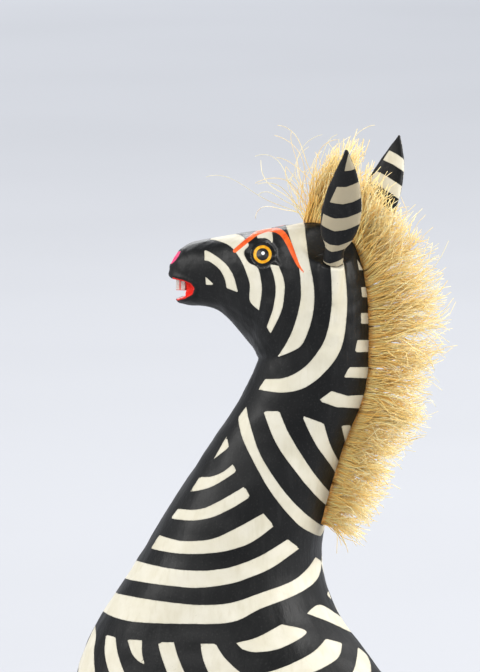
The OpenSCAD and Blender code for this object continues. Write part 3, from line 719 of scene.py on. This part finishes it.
def side_paint(points):
    return patches(paint_plane(points.copy()), SIDE_OUTLINES)


def add_bars(field, where, y, z, bars):
    levels, half_height, half_width, sag = bars
    half = half_height * np.sqrt(np.clip(1 - (y / half_width) ** 2, 0, 1))
    for level in levels:
        band = half - np.abs(z - level + sag * y ** 2) - 3 * (half <= 0)
        field = np.where(where, np.maximum(field, band), field)
    return field


def trunk_paint(points):
    """The side layout, and short bars across the chest and across the rump between the haunches."""
    c = points - [SHIFT, 0, 0]
    field = side_paint(points)
    y, z = np.abs(c[:, 1]), c[:, 2]
    front = (c[:, 0] < -30) & (z < CHEST_TOP)
    field = np.where(front, np.minimum(field, y - CHEST_BLACK), field)
    field = add_bars(field, front, y, z, CHEST_BARS)
    return add_bars(field, c[:, 0] > 38, y, z, RUMP_BARS)


def foreleg_paint(points):
    """Rings down the leg, and the side layout above them."""
    c = points - [SHIFT, 0, 0]
    field = np.where(c[:, 2] > 72, side_paint(points), FAR_OUT)
    y = np.abs(c[:, 1]) - 19.5
    for level in FORELEG_RINGS:
        tilt = 0.16 * (c[:, 0] + 53) + 0.05 * y
        band = 2.3 - np.abs(c[:, 2] - level + tilt)
        field = np.maximum(field, band - 3 * (np.abs(tilt) > 9))
    return field


def hindleg_paint(points):
    """Arches on the haunch and rings on the foot."""
    c = points - [SHIFT, 0, 0]
    dx, dz = c[:, 0] - HAUNCH_MID[0], c[:, 2] - HAUNCH_MID[1]
    r = np.hypot(dx, dz)
    turn = np.degrees(np.arctan2(dz, dx))
    turn = np.where(turn < -90, turn + 360, turn)
    taper = np.clip(np.minimum(turn + 42, 222 - turn) / 26, 0, 1) ** 0.5
    field = np.full(len(c), FAR_OUT)
    on_haunch = (np.abs(c[:, 1]) > 31) & (c[:, 2] > 12)
    for radius in HAUNCH_ARCS:
        band = 2.7 * taper - np.abs(r - radius) - 3 * (taper <= 0)
        field = np.where(on_haunch, np.maximum(field, band), field)
    for x in HINDFOOT_RINGS:
        band = 2.4 - np.abs(c[:, 0] - x - 0.12 * (c[:, 2] - 7))
        field = np.where(c[:, 2] < 17, np.maximum(field, band), field)
    return field


def head_accents(points):
    """Distances for the brow stroke, lips and nostrils, and the place in the eye."""
    flat = paint_plane(points.copy())
    c = points - [SHIFT, 0, 0]
    line = curve([b[:2] for b in BROW])
    width = curve([(b[2], 0) for b in BROW])[:, 0]
    d, which = edge_distance(flat, line[:-1], line[1:])
    brow = np.minimum(width[which] - d, np.abs(points[:, 1]) - BROW_GAP)
    mouth = np.array(MOUTH, float)
    d, _ = edge_distance(c[:, [0, 2]], mouth, np.roll(mouth, -1, 0))
    within = inside(c[:, [0, 2]], mouth, np.roll(mouth, -1, 0))
    lips = np.minimum(np.where(within, d, -d) + LIP_RIM, c[:, 0] - LIP_FRONT)
    nostril = np.minimum(patches(flat, [np.array(NOSTRIL, float)]), np.abs(points[:, 1]) - NOSTRIL_GAP)
    return {"brow": softened(brow), "lips": softened(lips), "nostril": softened(nostril)}, flat - EYE


def mane_shade(points):
    """Painted shade beside the mane: how far the cream is darkened and warmed there, standing for shade and
    the fibre's reflected light, 0 to 1.
    """
    line = np.array([q for tuft in MANE for q in tuft[1]]) * [1, 0, 1]
    return MANE_SHADE * smoothstep(-edge_distance(points, line[:-1], line[1:])[0], -18, -3)


def ear_outer(points, side):
    """1 on the ear's outer face, 0 on the inner one."""
    seat, _, y, _ = EARS[side]
    return (((points - seat) @ y) * seat[1] > 0).astype(float)


def ear_paint(points, side):
    seat, x, _, a = EARS[side]
    q = points - seat
    flat = np.stack([q @ x, q @ a], 1)
    outer, inner = [patches(flat, outlines_of([], chips)) for chips in (EAR_PATCHES, EAR_INNER)]
    return np.where(ear_outer(points, side) > 0, outer, inner)


def tail_paint(points):
    seat, _, _, a = TAIL
    along = (points - seat) @ a
    field = np.full(len(points), FAR_OUT)
    for level in TAIL_RINGS:
        field = np.maximum(field, 1.5 - np.abs(along - level))
    return field


# ---------------------------------------------------------------- ears and tail
EAR_LENGTH = 38.0
EAR_LEAN, EAR_FULLER = -1.5, -1.2


def carved_piece(node, voxel, rounds, bore, seat):
    """A small carved piece on a loose peg: even skin, then its hole again."""
    origin, x, _, a = seat
    high = max(bore[:2], key=lambda q: (q - origin) @ a)
    solid = remesh(join([cad(node), rod(origin + 0.1 * a, high + 0.6 * a, bore[2] + 0.3)]), voxel)
    solid = smooth(solid, rounds)
    solid.points += 0.05 * ripple(solid.points, 5.0)[:, None] * solid.normals()
    if node == "left_ear":
        # whittled by eye: its tip leans forward and its foot is a little fuller in front
        across, along = (solid.points - origin) @ x, (solid.points - origin) @ a
        lean = EAR_LEAN * (np.clip(along, 0, 40) / EAR_LENGTH) ** 2
        full = EAR_FULLER * bead(along - 7.5, 3.0) * smoothstep(-across, 0, 3)
        solid.points += (lean + full)[:, None] * x
    solid = boolean(solid, half_space(origin, a, -1), "DIFFERENCE")
    return boolean(solid, rod(origin - 2 * a, high + 0.5 * a, bore[2] + PIN_GAP), "DIFFERENCE")


for side in EARS:
    pieces[side + "_ear"] = carved_piece(side + "_ear", EAR_VOXEL, 14, ear_pins[side], EARS[side])
pieces["tail"] = carved_piece("tail", TAIL_VOXEL, 12, tail_pin, TAIL)


# ---------------------------------------------------------------- materials
def linear(r, g, b):
    """sRGB 0-255 to a linear colour."""
    shades = [v / 255 for v in (r, g, b)]
    return tuple(v / 12.92 if v <= 0.04045 else ((v + 0.055) / 1.055) ** 2.4 for v in shades) + (1.0,)


class Look:
    """Builds one material's nodes."""

    def __init__(self, name, **shader):
        self.material = bpy.data.materials.new(name)
        self.material.use_nodes = True
        self.tree = self.material.node_tree
        self.tree.nodes.clear()
        self.shader = self.node("ShaderNodeBsdfPrincipled")
        out = self.node("ShaderNodeOutputMaterial")
        self.link(self.shader.outputs[0], out.inputs["Surface"])
        for key, value in shader.items():
            self.shader.inputs[key.replace("_", " ")].default_value = value
        self.place = self.node("ShaderNodeTexCoord").outputs["Object"]

    def node(self, kind, **settings):
        n = self.tree.nodes.new(kind)
        for key, value in settings.items():
            setattr(n, key, value)
        return n

    def link(self, a, b):
        self.tree.links.new(a, b)

    def put(self, socket, value):
        if isinstance(value, bpy.types.NodeSocket):
            self.link(value, socket)
        else:
            socket.default_value = value

    def math(self, operation, a, b=0.0):
        n = self.node("ShaderNodeMath", operation=operation)
        self.put(n.inputs[0], a)
        self.put(n.inputs[1], b)
        return n.outputs[0]

    def noise(self, size, detail=3.0, roughness=0.55, stretch=None, place=None):
        """Noise from 0 to 1 with features of the given size in mm."""
        source = place or self.place
        if stretch:
            m = self.node("ShaderNodeMapping")
            m.inputs["Scale"].default_value = stretch
            self.link(source, m.inputs["Vector"])
            source = m.outputs[0]
        n = self.node("ShaderNodeTexNoise")
        self.link(source, n.inputs["Vector"])
        n.inputs["Scale"].default_value = 1000.0 / size
        n.inputs["Detail"].default_value = detail
        n.inputs["Roughness"].default_value = roughness
        return n.outputs["Fac"]

    def attribute(self, name, kind="Fac"):
        return self.node("ShaderNodeAttribute", attribute_name=name).outputs[kind]

    def step(self, value, low, high, bottom=0.0, top=1.0):
        n = self.node("ShaderNodeMapRange", interpolation_type="SMOOTHSTEP")
        self.put(n.inputs["Value"], value)
        for key, v in (("From Min", low), ("From Max", high), ("To Min", bottom), ("To Max", top)):
            n.inputs[key].default_value = v
        return n.outputs[0]

    def mix(self, factor, a, b):
        n = self.node("ShaderNodeMix", data_type="RGBA")
        self.put(n.inputs["Factor"], factor)
        self.put(n.inputs[6], a)
        self.put(n.inputs[7], b)
        return n.outputs[2]

    def bump(self, heights):
        """Bumps laid on each other: (height, depth in mm)."""
        normal = None
        for height, depth in heights:
            n = self.node("ShaderNodeBump")
            n.inputs["Strength"].default_value = 1.0
            n.inputs["Distance"].default_value = depth * MM
            self.link(height, n.inputs["Height"])
            if normal is not None:
                self.link(normal, n.inputs["Normal"])
            normal = n.outputs[0]
        self.link(normal, self.shader.inputs["Normal"])


BASE_ROUGHNESS = 0.33


def paint_look(name, accents):
    """Black acrylic with brushed cream bands, and the coloured details of the face."""
    look = Look(name, Specular_IOR_Level=0.18, Coat_Weight=0.02, Coat_Roughness=0.3)
    slow, fine_noise = look.noise(16), look.noise(1.1, 2)
    streaks = look.noise(2.2, 3, stretch=(1.0, 1.0, 0.16))
    grain = look.noise(0.55, 2, stretch=(1.0, 1.0, 0.08))
    wobble = look.math("SUBTRACT", look.math("ADD", look.math("MULTIPLY", look.noise(3.2, 2), 0.18),
                                             look.math("MULTIPLY", look.noise(0.9, 2), 0.10)), 0.14)
    black = look.mix(look.step(slow, 0.35, 0.7), (0.0040, 0.0042, 0.0043, 1), (0.0080, 0.0082, 0.0082, 1))
    black = look.mix(look.step(streaks, 0.52, 0.78, 0, 0.55), black, (0.016, 0.016, 0.016, 1))
    black = look.mix(look.step(look.noise(0.6, 3), 0.55, 0.75, 0, 0.6), black, (0.026, 0.026, 0.025, 1))
    cream = look.mix(look.step(look.noise(7), 0.3, 0.72), linear(206, 200, 179), linear(214, 209, 192))
    cream = look.mix(look.step(streaks, 0.5, 0.8, 0, 0.5), cream, linear(194, 186, 161))
    cream = look.mix(look.step(look.noise(0.7, 3), 0.66, 0.8, 0, 0.35), cream, linear(150, 142, 124))
    d = look.math("ADD", look.attribute("cream"), wobble)
    cover = look.step(d, -0.07, 0.07)
    thin = look.step(d, 0.0, 0.55, 0.22, 0.0)
    thin = look.math("MULTIPLY", thin, look.step(fine_noise, 0.35, 0.6))
    cream = look.mix(thin, cream, linear(120, 116, 104))
    # painted shade: the cream darkens to tan on the ear's outer face and beside the mane, and is tinted tan
    # evenly on the tail
    cream = look.mix(look.attribute("shade_and_tan"), cream, linear(156, 144, 118))
    colour = look.mix(cover, black, cream)
    raised = cover
    rough = look.math("ADD", look.math("MULTIPLY", slow, 0.16), look.math("MULTIPLY", streaks, 0.10))
    rough = look.math("ADD", rough, look.math("MULTIPLY", cover, 0.10))
    if accents:
        for key, shade, dark, soft in (("brow", linear(234, 100, 34), linear(212, 76, 20), 0.09),
                                       ("nostril", linear(224, 62, 116), linear(204, 40, 92), 0.10),
                                       ("lips", linear(222, 38, 20), linear(194, 24, 14), 0.12)):
            e = look.math("ADD", look.attribute(key), look.math("MULTIPLY", wobble, 0.6))
            on = look.step(e, -soft, soft)
            colour = look.mix(on, colour, look.mix(look.step(streaks, 0.4, 0.7), shade, dark))
            raised = look.math("MAXIMUM", raised, on)
        spot = look.attribute("eye", "Vector")
        length = look.node("ShaderNodeVectorMath", operation="LENGTH")
        look.link(spot, length.inputs[0])
        r = look.math("ADD", length.outputs["Value"], look.math("MULTIPLY", wobble, 0.35))
        disc = look.step(r, EYE_RING + 0.06, EYE_RING - 0.06)
        ring = look.mix(look.step(look.noise(1.6), 0.4, 0.62), linear(232, 174, 36), linear(214, 142, 20))
        ring = look.mix(look.step(r, PUPIL + 0.06, PUPIL - 0.06), ring, (0.008, 0.008, 0.009, 1))
        away = look.node("ShaderNodeVectorMath", operation="DISTANCE")
        look.link(spot, away.inputs[0])
        away.inputs[1].default_value = (0.15, 0.35, 0)
        ring = look.mix(look.step(away.outputs["Value"], 0.56, 0.46), ring, linear(236, 236, 234))
        colour = look.mix(disc, colour, ring)
        gloss = look.step(length.outputs["Value"], 6.0, 4.2)
        rough = look.math("MULTIPLY", rough, look.math("SUBTRACT", 1.0, look.math("MULTIPLY", gloss, 0.3)))
        rough = look.math("ADD", rough, look.math("MULTIPLY", gloss, -0.12))
    look.link(colour, look.shader.inputs["Base Color"])
    look.link(look.math("ADD", rough, BASE_ROUGHNESS), look.shader.inputs["Roughness"])
    look.bump([(look.noise(6.0, 2), 0.10), (raised, 0.06), (streaks, 0.09), (grain, 0.06),
               (fine_noise, 0.05)])
    return look.material


def fibre_look():
    """Agave fibre: golden straw along it, darker orange at the root as painted shade and paler at the tip as
    a painted highlight.
    """
    look = Look("agave_fibre", Roughness=0.34, Specular_IOR_Level=0.5, Sheen_Weight=0.12,
                Sheen_Roughness=0.35)
    along, tone = look.attribute("along"), look.attribute("tone")
    straw = look.mix(tone, linear(250, 198, 98), linear(255, 238, 162))
    straw = look.mix(look.step(look.noise(1.4, 2), 0.58, 0.76, 0, 0.35), straw, linear(236, 174, 84))
    # painted highlight: the tips are paler, nearly white
    tip = look.mix(tone, linear(255, 220, 134), linear(255, 246, 200))
    colour = look.mix(look.step(along, 0.35, 1.0), straw, tip)
    # painted shade: darker orange near the root, where the strands crowd
    colour = look.mix(look.step(along, 0.17, 0.0, 0, 0.8), colour, linear(216, 142, 54))
    look.link(colour, look.shader.inputs["Base Color"])
    look.bump([(look.noise(0.22, 1), 0.02)])
    return look.material


def wood_look():
    """Pale sanded copal wood with fine rings."""
    look = Look("bare_wood", Roughness=0.62, Specular_IOR_Level=0.3)
    rings = look.node("ShaderNodeTexWave", wave_type="RINGS", rings_direction="Z")
    look.link(look.place, rings.inputs["Vector"])
    rings.inputs["Scale"].default_value = 160.0
    rings.inputs["Distortion"].default_value = 3.0
    rings.inputs["Detail"].default_value = 2.0
    grain = look.noise(0.5, 3, stretch=(1.0, 1.0, 0.1))
    colour = look.mix(rings.outputs["Fac"], linear(222, 192, 146), linear(201, 166, 116))
    colour = look.mix(look.step(grain, 0.5, 0.8, 0, 0.6), colour, linear(170, 132, 86))
    look.link(colour, look.shader.inputs["Base Color"])
    look.bump([(grain, 0.05), (rings.outputs["Fac"], 0.02)])
    return look.material


def teeth_look():
    """White paint with thin worn places."""
    look = Look("painted_teeth", Roughness=0.38, Coat_Weight=0.2, Coat_Roughness=0.25)
    colour = look.mix(look.step(look.noise(1.2), 0.35, 0.7), linear(186, 180, 172), linear(214, 210, 202))
    colour = look.mix(look.step(look.noise(0.5, 3), 0.62, 0.78, 0, 0.6), colour, linear(196, 150, 130))
    colour = look.mix(look.step(look.attribute("gum"), -0.12, 0.12, 0, 0.85), colour, linear(214, 52, 34))
    look.link(colour, look.shader.inputs["Base Color"])
    look.bump([(look.noise(0.8), 0.05)])
    return look.material


def floor_look():
    """Matt paper-like pale sweep."""
    look = Look("pale_floor", Roughness=0.9, Specular_IOR_Level=0.1)
    colour = look.mix(look.step(look.noise(420, 2), 0.35, 0.65), linear(189, 191, 196), linear(192, 194, 199))
    look.link(colour, look.shader.inputs["Base Color"])
    look.bump([(look.noise(1.5, 3), 0.04)])
    return look.material


HEAD_PAINT = paint_look("painted_wood_head", True)
BODY_PAINT = paint_look("painted_wood", False)
FIBRE = fibre_look()
WOOD = wood_look()
TEETH = teeth_look()


def add_floats(mesh, name, values):
    mesh.attributes.new(name, "FLOAT", "POINT").data.foreach_set("value", np.asarray(values, np.float32))


def finish_piece(solid, name, nodes, body, material, floats, vectors=None, sharp=38):
    obj = to_object(solid, name, MM)
    mesh = obj.data
    mesh.materials.append(material)
    mesh.shade_smooth()
    mesh.set_sharp_from_angle(angle=math.radians(sharp))
    for key, values in floats.items():
        add_floats(mesh, key, values)
    for key, values in (vectors or {}).items():
        flat = np.zeros((len(solid.points), 3), np.float32)
        flat[:, :2] = values
        mesh.attributes.new(key, "FLOAT_VECTOR", "POINT").data.foreach_set("vector", flat.ravel())
    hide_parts(*nodes)
    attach(obj, body)


accents, eye_place = head_accents(pieces["head"].points)
accents["cream"] = softened(side_paint(pieces["head"].points))
# painted shade and the fibre's warm reflected light on the cream beside the mane
accents["shade_and_tan"] = mane_shade(pieces["head"].points)
finish_piece(pieces["head"], "carved_head", ["head"], "figure", HEAD_PAINT, accents,
             {"eye": eye_place})
# beside the mane the cream carries painted shade
for name, paint in zip(["torso"] + LEGS,
                       (trunk_paint, foreleg_paint, foreleg_paint, hindleg_paint, hindleg_paint)):
    finish_piece(pieces[name], "carved_" + name, [name], "figure", BODY_PAINT,
                 {"cream": softened(paint(pieces[name].points)), "shade_and_tan": mane_shade(pieces[name].points)})
for side in EARS:
    ear = pieces[side + "_ear"]
    # the ear's outer face is darkened as painted shade
    finish_piece(ear, "carved_" + side + "_ear", [side + "_ear"], side + "_ear", BODY_PAINT,
                 {"cream": softened(ear_paint(ear.points, side)),
                  "shade_and_tan": ear_outer(ear.points, side) * EAR_SHADE})
tail = pieces["tail"]
finish_piece(tail, "carved_tail", ["tail"], "tail", BODY_PAINT,
             {"cream": softened(tail_paint(tail.points)), "shade_and_tan": np.full(len(tail.points), TAIL_TAN)})


# ---------------------------------------------------------------- fibre
def tubes(paths, radii, tones, sides=3, seed=1):
    """Closed thin tubes round many paths at once: (solid, along, tone)."""
    rng = np.random.default_rng(seed)
    count, rings = paths.shape[:2]
    tangent = np.gradient(paths, axis=1)
    tangent /= np.maximum(np.linalg.norm(tangent, axis=2, keepdims=True), 1e-9)
    ref = np.cross(tangent, np.broadcast_to([0.31, 0.87, 0.39], tangent.shape))
    ref /= np.maximum(np.linalg.norm(ref, axis=2, keepdims=True), 1e-9)
    other = np.cross(tangent, ref)
    start = rng.uniform(0, 2 * math.pi, count)[:, None, None]
    turn = start + np.arange(sides)[None, None, :] * 2 * math.pi / sides
    radius = radii[:, :, None, None]
    ring = paths[:, :, None, :] + radius * (np.cos(turn)[..., None] * ref[:, :, None, :]
                                            + np.sin(turn)[..., None] * other[:, :, None, :])
    points = ring.reshape(-1, 3)
    base = (np.arange(count) * rings * sides)[:, None, None]
    row = (np.arange(rings - 1) * sides)[None, :, None]
    k = np.arange(sides)[None, None, :]
    k2 = (k + 1) % sides
    quads = np.stack([base + row + k, base + row + k2, base + row + sides + k2, base + row + sides + k], -1)
    faces = quads.reshape(-1, 4).tolist()
    low = base[:, 0] + np.arange(sides)[::-1]
    high = base[:, 0] + (rings - 1) * sides + np.arange(sides)
    faces += low.tolist() + high.tolist()
    along = np.broadcast_to(np.linspace(0, 1, rings)[None, :, None], (count, rings, sides)).ravel()
    tone = np.broadcast_to(tones[:, None, None], (count, rings, sides)).ravel()
    return Solid(points, faces), along, tone


def lerp(a, b, t):
    return a + (b - a) * t


def tuft_paths(corners, count, rng, rings=12, shorten=1.0, fan=0.0, clumps=8):
    """Strands of one tuft, from its root row in the groove to its tip row: wavy locks and loose strands."""
    inner, skin, mid, tip = corners
    s = rng.uniform(0.0, 1.0, count)
    y = rng.uniform(-1, 1, count)
    clump = np.minimum((s * clumps + rng.normal(0, 0.9, count)).clip(0, clumps - 1).astype(int), clumps - 1)
    loose = rng.random(count) < 0.36
    lean_s = rng.normal(0, 0.45, clumps)[clump] + rng.normal(0, 1, count) * np.where(loose, 0.75, 0.28)
    lean_y = rng.normal(0, 0.50, clumps)[clump] + rng.normal(0, 1, count) * np.where(loose, 0.70, 0.35)
    lean_s -= fan * rng.uniform(0, 1, count) * (1 - s)
    share = rng.uniform(0.48, 0.98, count) * (1 + rng.normal(0, 0.07, clumps)[clump]) * shorten

    def at(row, s_, y_, half):
        p = lerp(row[0][None, :], row[1][None, :], s_[:, None])
        p = p * [1, 0, 1]
        p[:, 1] = y_ * half
        return p

    a = at(inner, s, y, inner[0][1] * 0.9)
    b = at(skin, s, y, skin[0][1] * 0.9)
    c = at(mid, s + 0.35 * lean_s, y + 0.3 * lean_y, mid[0][1])
    d = at(tip, s + lean_s, y + lean_y, tip[0][1])
    d = b + (d - b) * share[:, None]
    c = b + (c - b) * share[:, None]
    length = np.linalg.norm(d - b, axis=1)
    u = np.clip((np.linspace(0, 1, rings) - 0.08) / 0.92, 0, 1)[None, :, None]
    bend = 2 * c - 0.5 * b - 0.5 * d
    path = (1 - u) ** 2 * b[:, None] + 2 * u * (1 - u) * bend[:, None] + u ** 2 * d[:, None]
    path[:, 0] = lerp(a, b, 0.25)
    along_dir = (d - b) / length[:, None]
    across = np.cross(along_dir, [0.0, 1.0, 0.0])
    t = u[..., 0]
    grow = t ** 1.1
    # each lock waves as one, and each strand a little by itself
    for size, wave, bends in (
            (rng.uniform(0.4, 1.7, clumps)[clump], rng.uniform(0, 2 * math.pi, clumps)[clump],
             rng.uniform(0.8, 1.7, clumps)[clump]),
            (np.abs(rng.normal(0, 1, count)) * np.where(loose, 1.4, 0.6), rng.uniform(0, 2 * math.pi, count),
             rng.uniform(1.2, 3.0, count))):
        turns = (bends * length / 26)[:, None] * 2 * math.pi
        swing = np.sin(wave[:, None] + turns * t) - np.sin(wave)[:, None]
        sway = np.cos(1.7 * wave[:, None] + 0.8 * turns * t) - np.cos(1.7 * wave)[:, None]
        path += (size[:, None] * grow * swing)[..., None] * across[:, None]
        path[:, :, 1] += 0.8 * size[:, None] * grow * sway
    return path


def strand_radii(count, rings, rng, thick=(0.115, 0.185)):
    """Radius of each strand along it, thinner towards the tip."""
    taper = np.linspace(1.0, 0.6, rings)[None, :]
    return rng.uniform(*thick, count)[:, None] * taper


def root_lump(corners, rng, rings=9, sides=10):
    """The glued root of a tuft: an uneven bead that fills the groove."""
    inner, skin = corners[0], corners[1]
    points, faces = [], []
    for i in range(rings):
        t = i / (rings - 1)
        low = lerp(inner[0], inner[1], 0.04 + 0.92 * t) * [1, 0, 1]
        high = lerp(skin[0], skin[1], 0.04 + 0.92 * t) * [1, 0, 1]
        out = (high - low) / np.linalg.norm(high - low)
        mid = lerp(low, high, 0.52)
        tall = np.linalg.norm(high - low) * 0.5 * (0.35 + 0.65 * math.sin(math.pi * (0.12 + 0.76 * t)))
        for k in range(sides):
            turn = 2 * math.pi * k / sides
            rise = tall * math.cos(turn) * (1 + 0.10 * rng.normal())
            if rise > 0:
                rise += 0.30 * rng.random()
            wide = inner[0][1] * 0.96 * math.sin(turn)
            points.append(mid + out * rise + np.array([0, wide, 0]))
    for i in range(rings - 1):
        for k in range(sides):
            k2 = (k + 1) % sides
            faces.append([i * sides + k, i * sides + k2, (i + 1) * sides + k2, (i + 1) * sides + k])
    faces.append(list(range(sides))[::-1])
    faces.append([(rings - 1) * sides + k for k in range(sides)])
    solid = Solid(points, faces)
    if np.sum(solid.normals() * (solid.points - solid.points.mean(0))) < 0:
        solid.faces = [f[::-1] for f in solid.faces]
    return solid


STRAYS = 16
STRANDS = 145
TAIL_STRANDS = 420
FORELOCK_FAN = 4.0
LUMP_TONE = 0.4
# each tuft's share of its full length: the ones behind the left ear are cut shorter, so the right ear shows
LENGTHS = [1, 0.98, 0.90, 0.76, 0.66, 0.66, 0.76, 0.88, 0.95] + [1] * 10 + [0.92]


def stray_paths(count, rng, rings=26):
    """Long curly strands that stand away from the forelock."""
    out = np.zeros((count, rings, 3))
    roots = [MANE[i][1][0] for i in (0, 1)]
    for n in range(count):
        p = np.array(roots[n % 2]) * [1, 0, 1] + [rng.uniform(0, 2.5), rng.uniform(-0.9, 0.9), 0]
        heading = math.radians(rng.uniform(78, 148))
        side = rng.uniform(-0.25, 0.25)
        step = rng.uniform(14, 34) / (rings - 1)
        curl = rng.choice([-1, 1]) * rng.uniform(0.6, 3.6)
        wave, bends = rng.uniform(0, 6), rng.uniform(5, 10)
        for i in range(rings):
            out[n, i] = p
            t = i / (rings - 1)
            heading += (curl * t ** 2 * 1.6 + 2.2 * math.sin(wave + bends * t)) / (rings - 1)
            across = side + 0.25 * math.sin(wave + 4 * t)
            p = p + step * np.array([math.cos(heading), across, math.sin(heading)])
    return out


for i, name in enumerate(TUFTS):
    rng = np.random.default_rng(100 + i)
    paths = tuft_paths(MANE[i], STRANDS, rng, shorten=LENGTHS[i], fan=FORELOCK_FAN if i == 0 else 0.0)
    tones = rng.uniform(0, 1, STRANDS)
    solid, along, tone = tubes(paths, strand_radii(STRANDS, paths.shape[1], rng), tones, seed=i)
    lump = root_lump(MANE[i], rng)
    parts, alongs = [solid, lump], [along, np.zeros(len(lump.points))]
    tones_all = [tone, np.full(len(lump.points), LUMP_TONE)]
    if i < 2:
        extra = stray_paths(STRAYS, rng)
        solid, along, tone = tubes(extra, strand_radii(STRAYS, extra.shape[1], rng, (0.10, 0.14)),
                                   rng.uniform(0, 1, STRAYS), seed=50 + i)
        parts.append(solid)
        alongs.append(0.35 + 0.65 * along)
        tones_all.append(tone)
    finish_piece(join(parts), "fibre_" + name, [name], "figure", FIBRE,
                 {"along": np.concatenate(alongs), "tone": np.concatenate(tones_all)}, sharp=180)


def tail_fibre():
    """The tail's tuft: a glued bundle that opens and hangs."""
    rng = np.random.default_rng(77)
    seat, x, y, a = TAIL
    p = cad("tail_tuft").points
    along = (p - seat) @ a
    levels = np.unique(np.round(along, 1))
    mids, radii = [], []
    for level in levels:
        ring = p[np.abs(along - level) < 0.15]
        mids.append((ring.min(0) + ring.max(0)) / 2)
        radii.append(np.linalg.norm(ring - mids[-1], axis=1).max())
    mids, radii = np.array(mids), np.array(radii)
    count, rings = TAIL_STRANDS, 9
    turn = rng.uniform(0, 2 * math.pi, count)
    out = np.sqrt(rng.uniform(0, 1, count))
    share = rng.uniform(0.74, 1.0, count)
    clump = rng.normal(0, 1, (12, 2))[rng.integers(0, 12, count)]
    paths = np.zeros((count, rings, 3))
    for k in range(rings):
        t = k / (rings - 1) * share * (len(levels) - 1)
        i = np.minimum(t.astype(int), len(levels) - 2)
        f = (t - i)[:, None]
        mid = lerp(mids[i], mids[i + 1], f)
        r = lerp(radii[i], radii[i + 1], f[:, 0]) * out * 0.93
        g = k / (rings - 1)
        wave = 0.5 * g * np.sin(turn * 3 + 5 * g)
        paths[:, k] = mid + ((r * np.cos(turn) + (clump[:, 0] * 0.5 * g + wave)))[:, None] * x \
            + (r * np.sin(turn) + clump[:, 1] * 0.5 * g + wave)[:, None] * y
    solid, along, tone = tubes(paths, strand_radii(count, rings, rng),
                               np.clip(rng.normal(0.45, 0.25, count), 0, 1))
    finish_piece(solid, "fibre_tail_tuft", ["tail_tuft"], "tail", FIBRE,
                 {"along": along, "tone": tone}, sharp=180)


tail_fibre()


# ---------------------------------------------------------------- teeth and pegs
def carved_teeth():
    """Small squarish teeth on one slip, with red gum paint in the gaps and above."""
    low, high = teeth_cad.points.min(0), teeth_cad.points.max(0)
    solid = remesh(teeth_cad, TEETH_VOXEL)
    solid = smooth(solid, 6)
    p, n = solid.points, solid.normals()
    cell = (high[1] - low[1]) / 4
    gap = np.abs(((p[:, 1] - low[1]) / cell + 0.5) % 1 - 0.5) * cell
    inner = (p[:, 1] > low[1] + 0.3 * cell) & (p[:, 1] < high[1] - 0.3 * cell)
    p += (-0.22 * np.exp(-(gap / 0.22) ** 2) * inner * (p[:, 2] < high[2] - 1.9))[:, None] * n * [1, 0.2, 1]
    middle = np.abs(p[:, 0] - (low[0] + high[0]) / 2 + 0.1)
    gum = np.maximum(np.maximum(0.30 - gap * inner - 9 * ~inner, 0.28 - middle), p[:, 2] - high[2] + 2.3)
    finish_piece(Solid(p, solid.faces), "carved_teeth", ["upper_teeth"], "figure", TEETH,
                 {"gum": np.maximum(gum, low[2] + 0.2 - p[:, 2])})


carved_teeth()
for name in ("neck_dowel", "foreleg_dowels", "hindleg_dowels", "left_ear_peg", "right_ear_peg", "tail_peg"):
    mesh = NODES[name].data
    mesh.materials.clear()
    mesh.materials.append(WOOD)

# ---------------------------------------------------------------- stage, light and camera
floor_mesh = bpy.data.meshes.new("floor")
bm = bmesh.new()
bmesh.ops.create_circle(bm, cap_ends=True, radius=9.0, segments=96)
bm.to_mesh(floor_mesh)
bm.free()
floor = bpy.data.objects.new("floor", floor_mesh)
floor_mesh.materials.append(floor_look())
bpy.context.scene.collection.objects.link(floor)


def area_light(name, place, target, size, power, colour):
    data = bpy.data.lights.new(name, "AREA")
    data.shape = "RECTANGLE"
    data.size, data.size_y = size
    data.energy = power
    data.color = colour
    light = bpy.data.objects.new(name, data)
    light.location = place
    light.rotation_euler = (Vector(target) - Vector(place)).to_track_quat("-Z", "Y").to_euler()
    bpy.context.scene.collection.objects.link(light)


area_light("key", (-2.3, -1.4, 1.5), (0, 0, 0.2), (1.3, 1.1), 54, (1.0, 0.99, 0.97))
area_light("front", (-0.6, -2.9, 1.9), (0, 0, 0.2), (2.0, 1.6), 46, (1.0, 0.99, 0.98))
area_light("fill", (2.3, 0.3, 1.1), (0, 0, 0.24), (1.2, 1.2), 70, (1.0, 0.99, 0.97))
area_light("rim", (0.6, 1.9, 1.7), (0, 0, 0.24), (1.4, 1.0), 26, (1.0, 0.98, 0.95))
area_light("backdrop", (-3.4, 5.2, 2.4), (-2.9, 4.2, 0), (2.4, 2.0), 170, (0.98, 0.99, 1.0))

world = bpy.data.worlds.new("studio")
world.use_nodes = True
world.node_tree.nodes["Background"].inputs["Color"].default_value = (0.89, 0.92, 0.98, 1)
world.node_tree.nodes["Background"].inputs["Strength"].default_value = 0.52
bpy.context.scene.world = world
bpy.context.scene.view_settings.view_transform = "Standard"

camera_data = bpy.data.cameras.new("camera")
camera = bpy.data.objects.new("camera", camera_data)
bpy.context.scene.collection.objects.link(camera)
DISTANCE = 2500.0
VIEW_HEIGHT = 201.6
camera_data.sensor_width = 36.0
camera_data.lens = 36.0 * DISTANCE / VIEW_HEIGHT
camera.location = Vector((AIM + DISTANCE * BACK) * MM)
camera.rotation_mode = "QUATERNION"
camera.rotation_quaternion = Vector(-BACK).to_track_quat("-Z", "Y")
camera_data.clip_start, camera_data.clip_end = 0.05, 60.0
bpy.context.scene.camera = camera
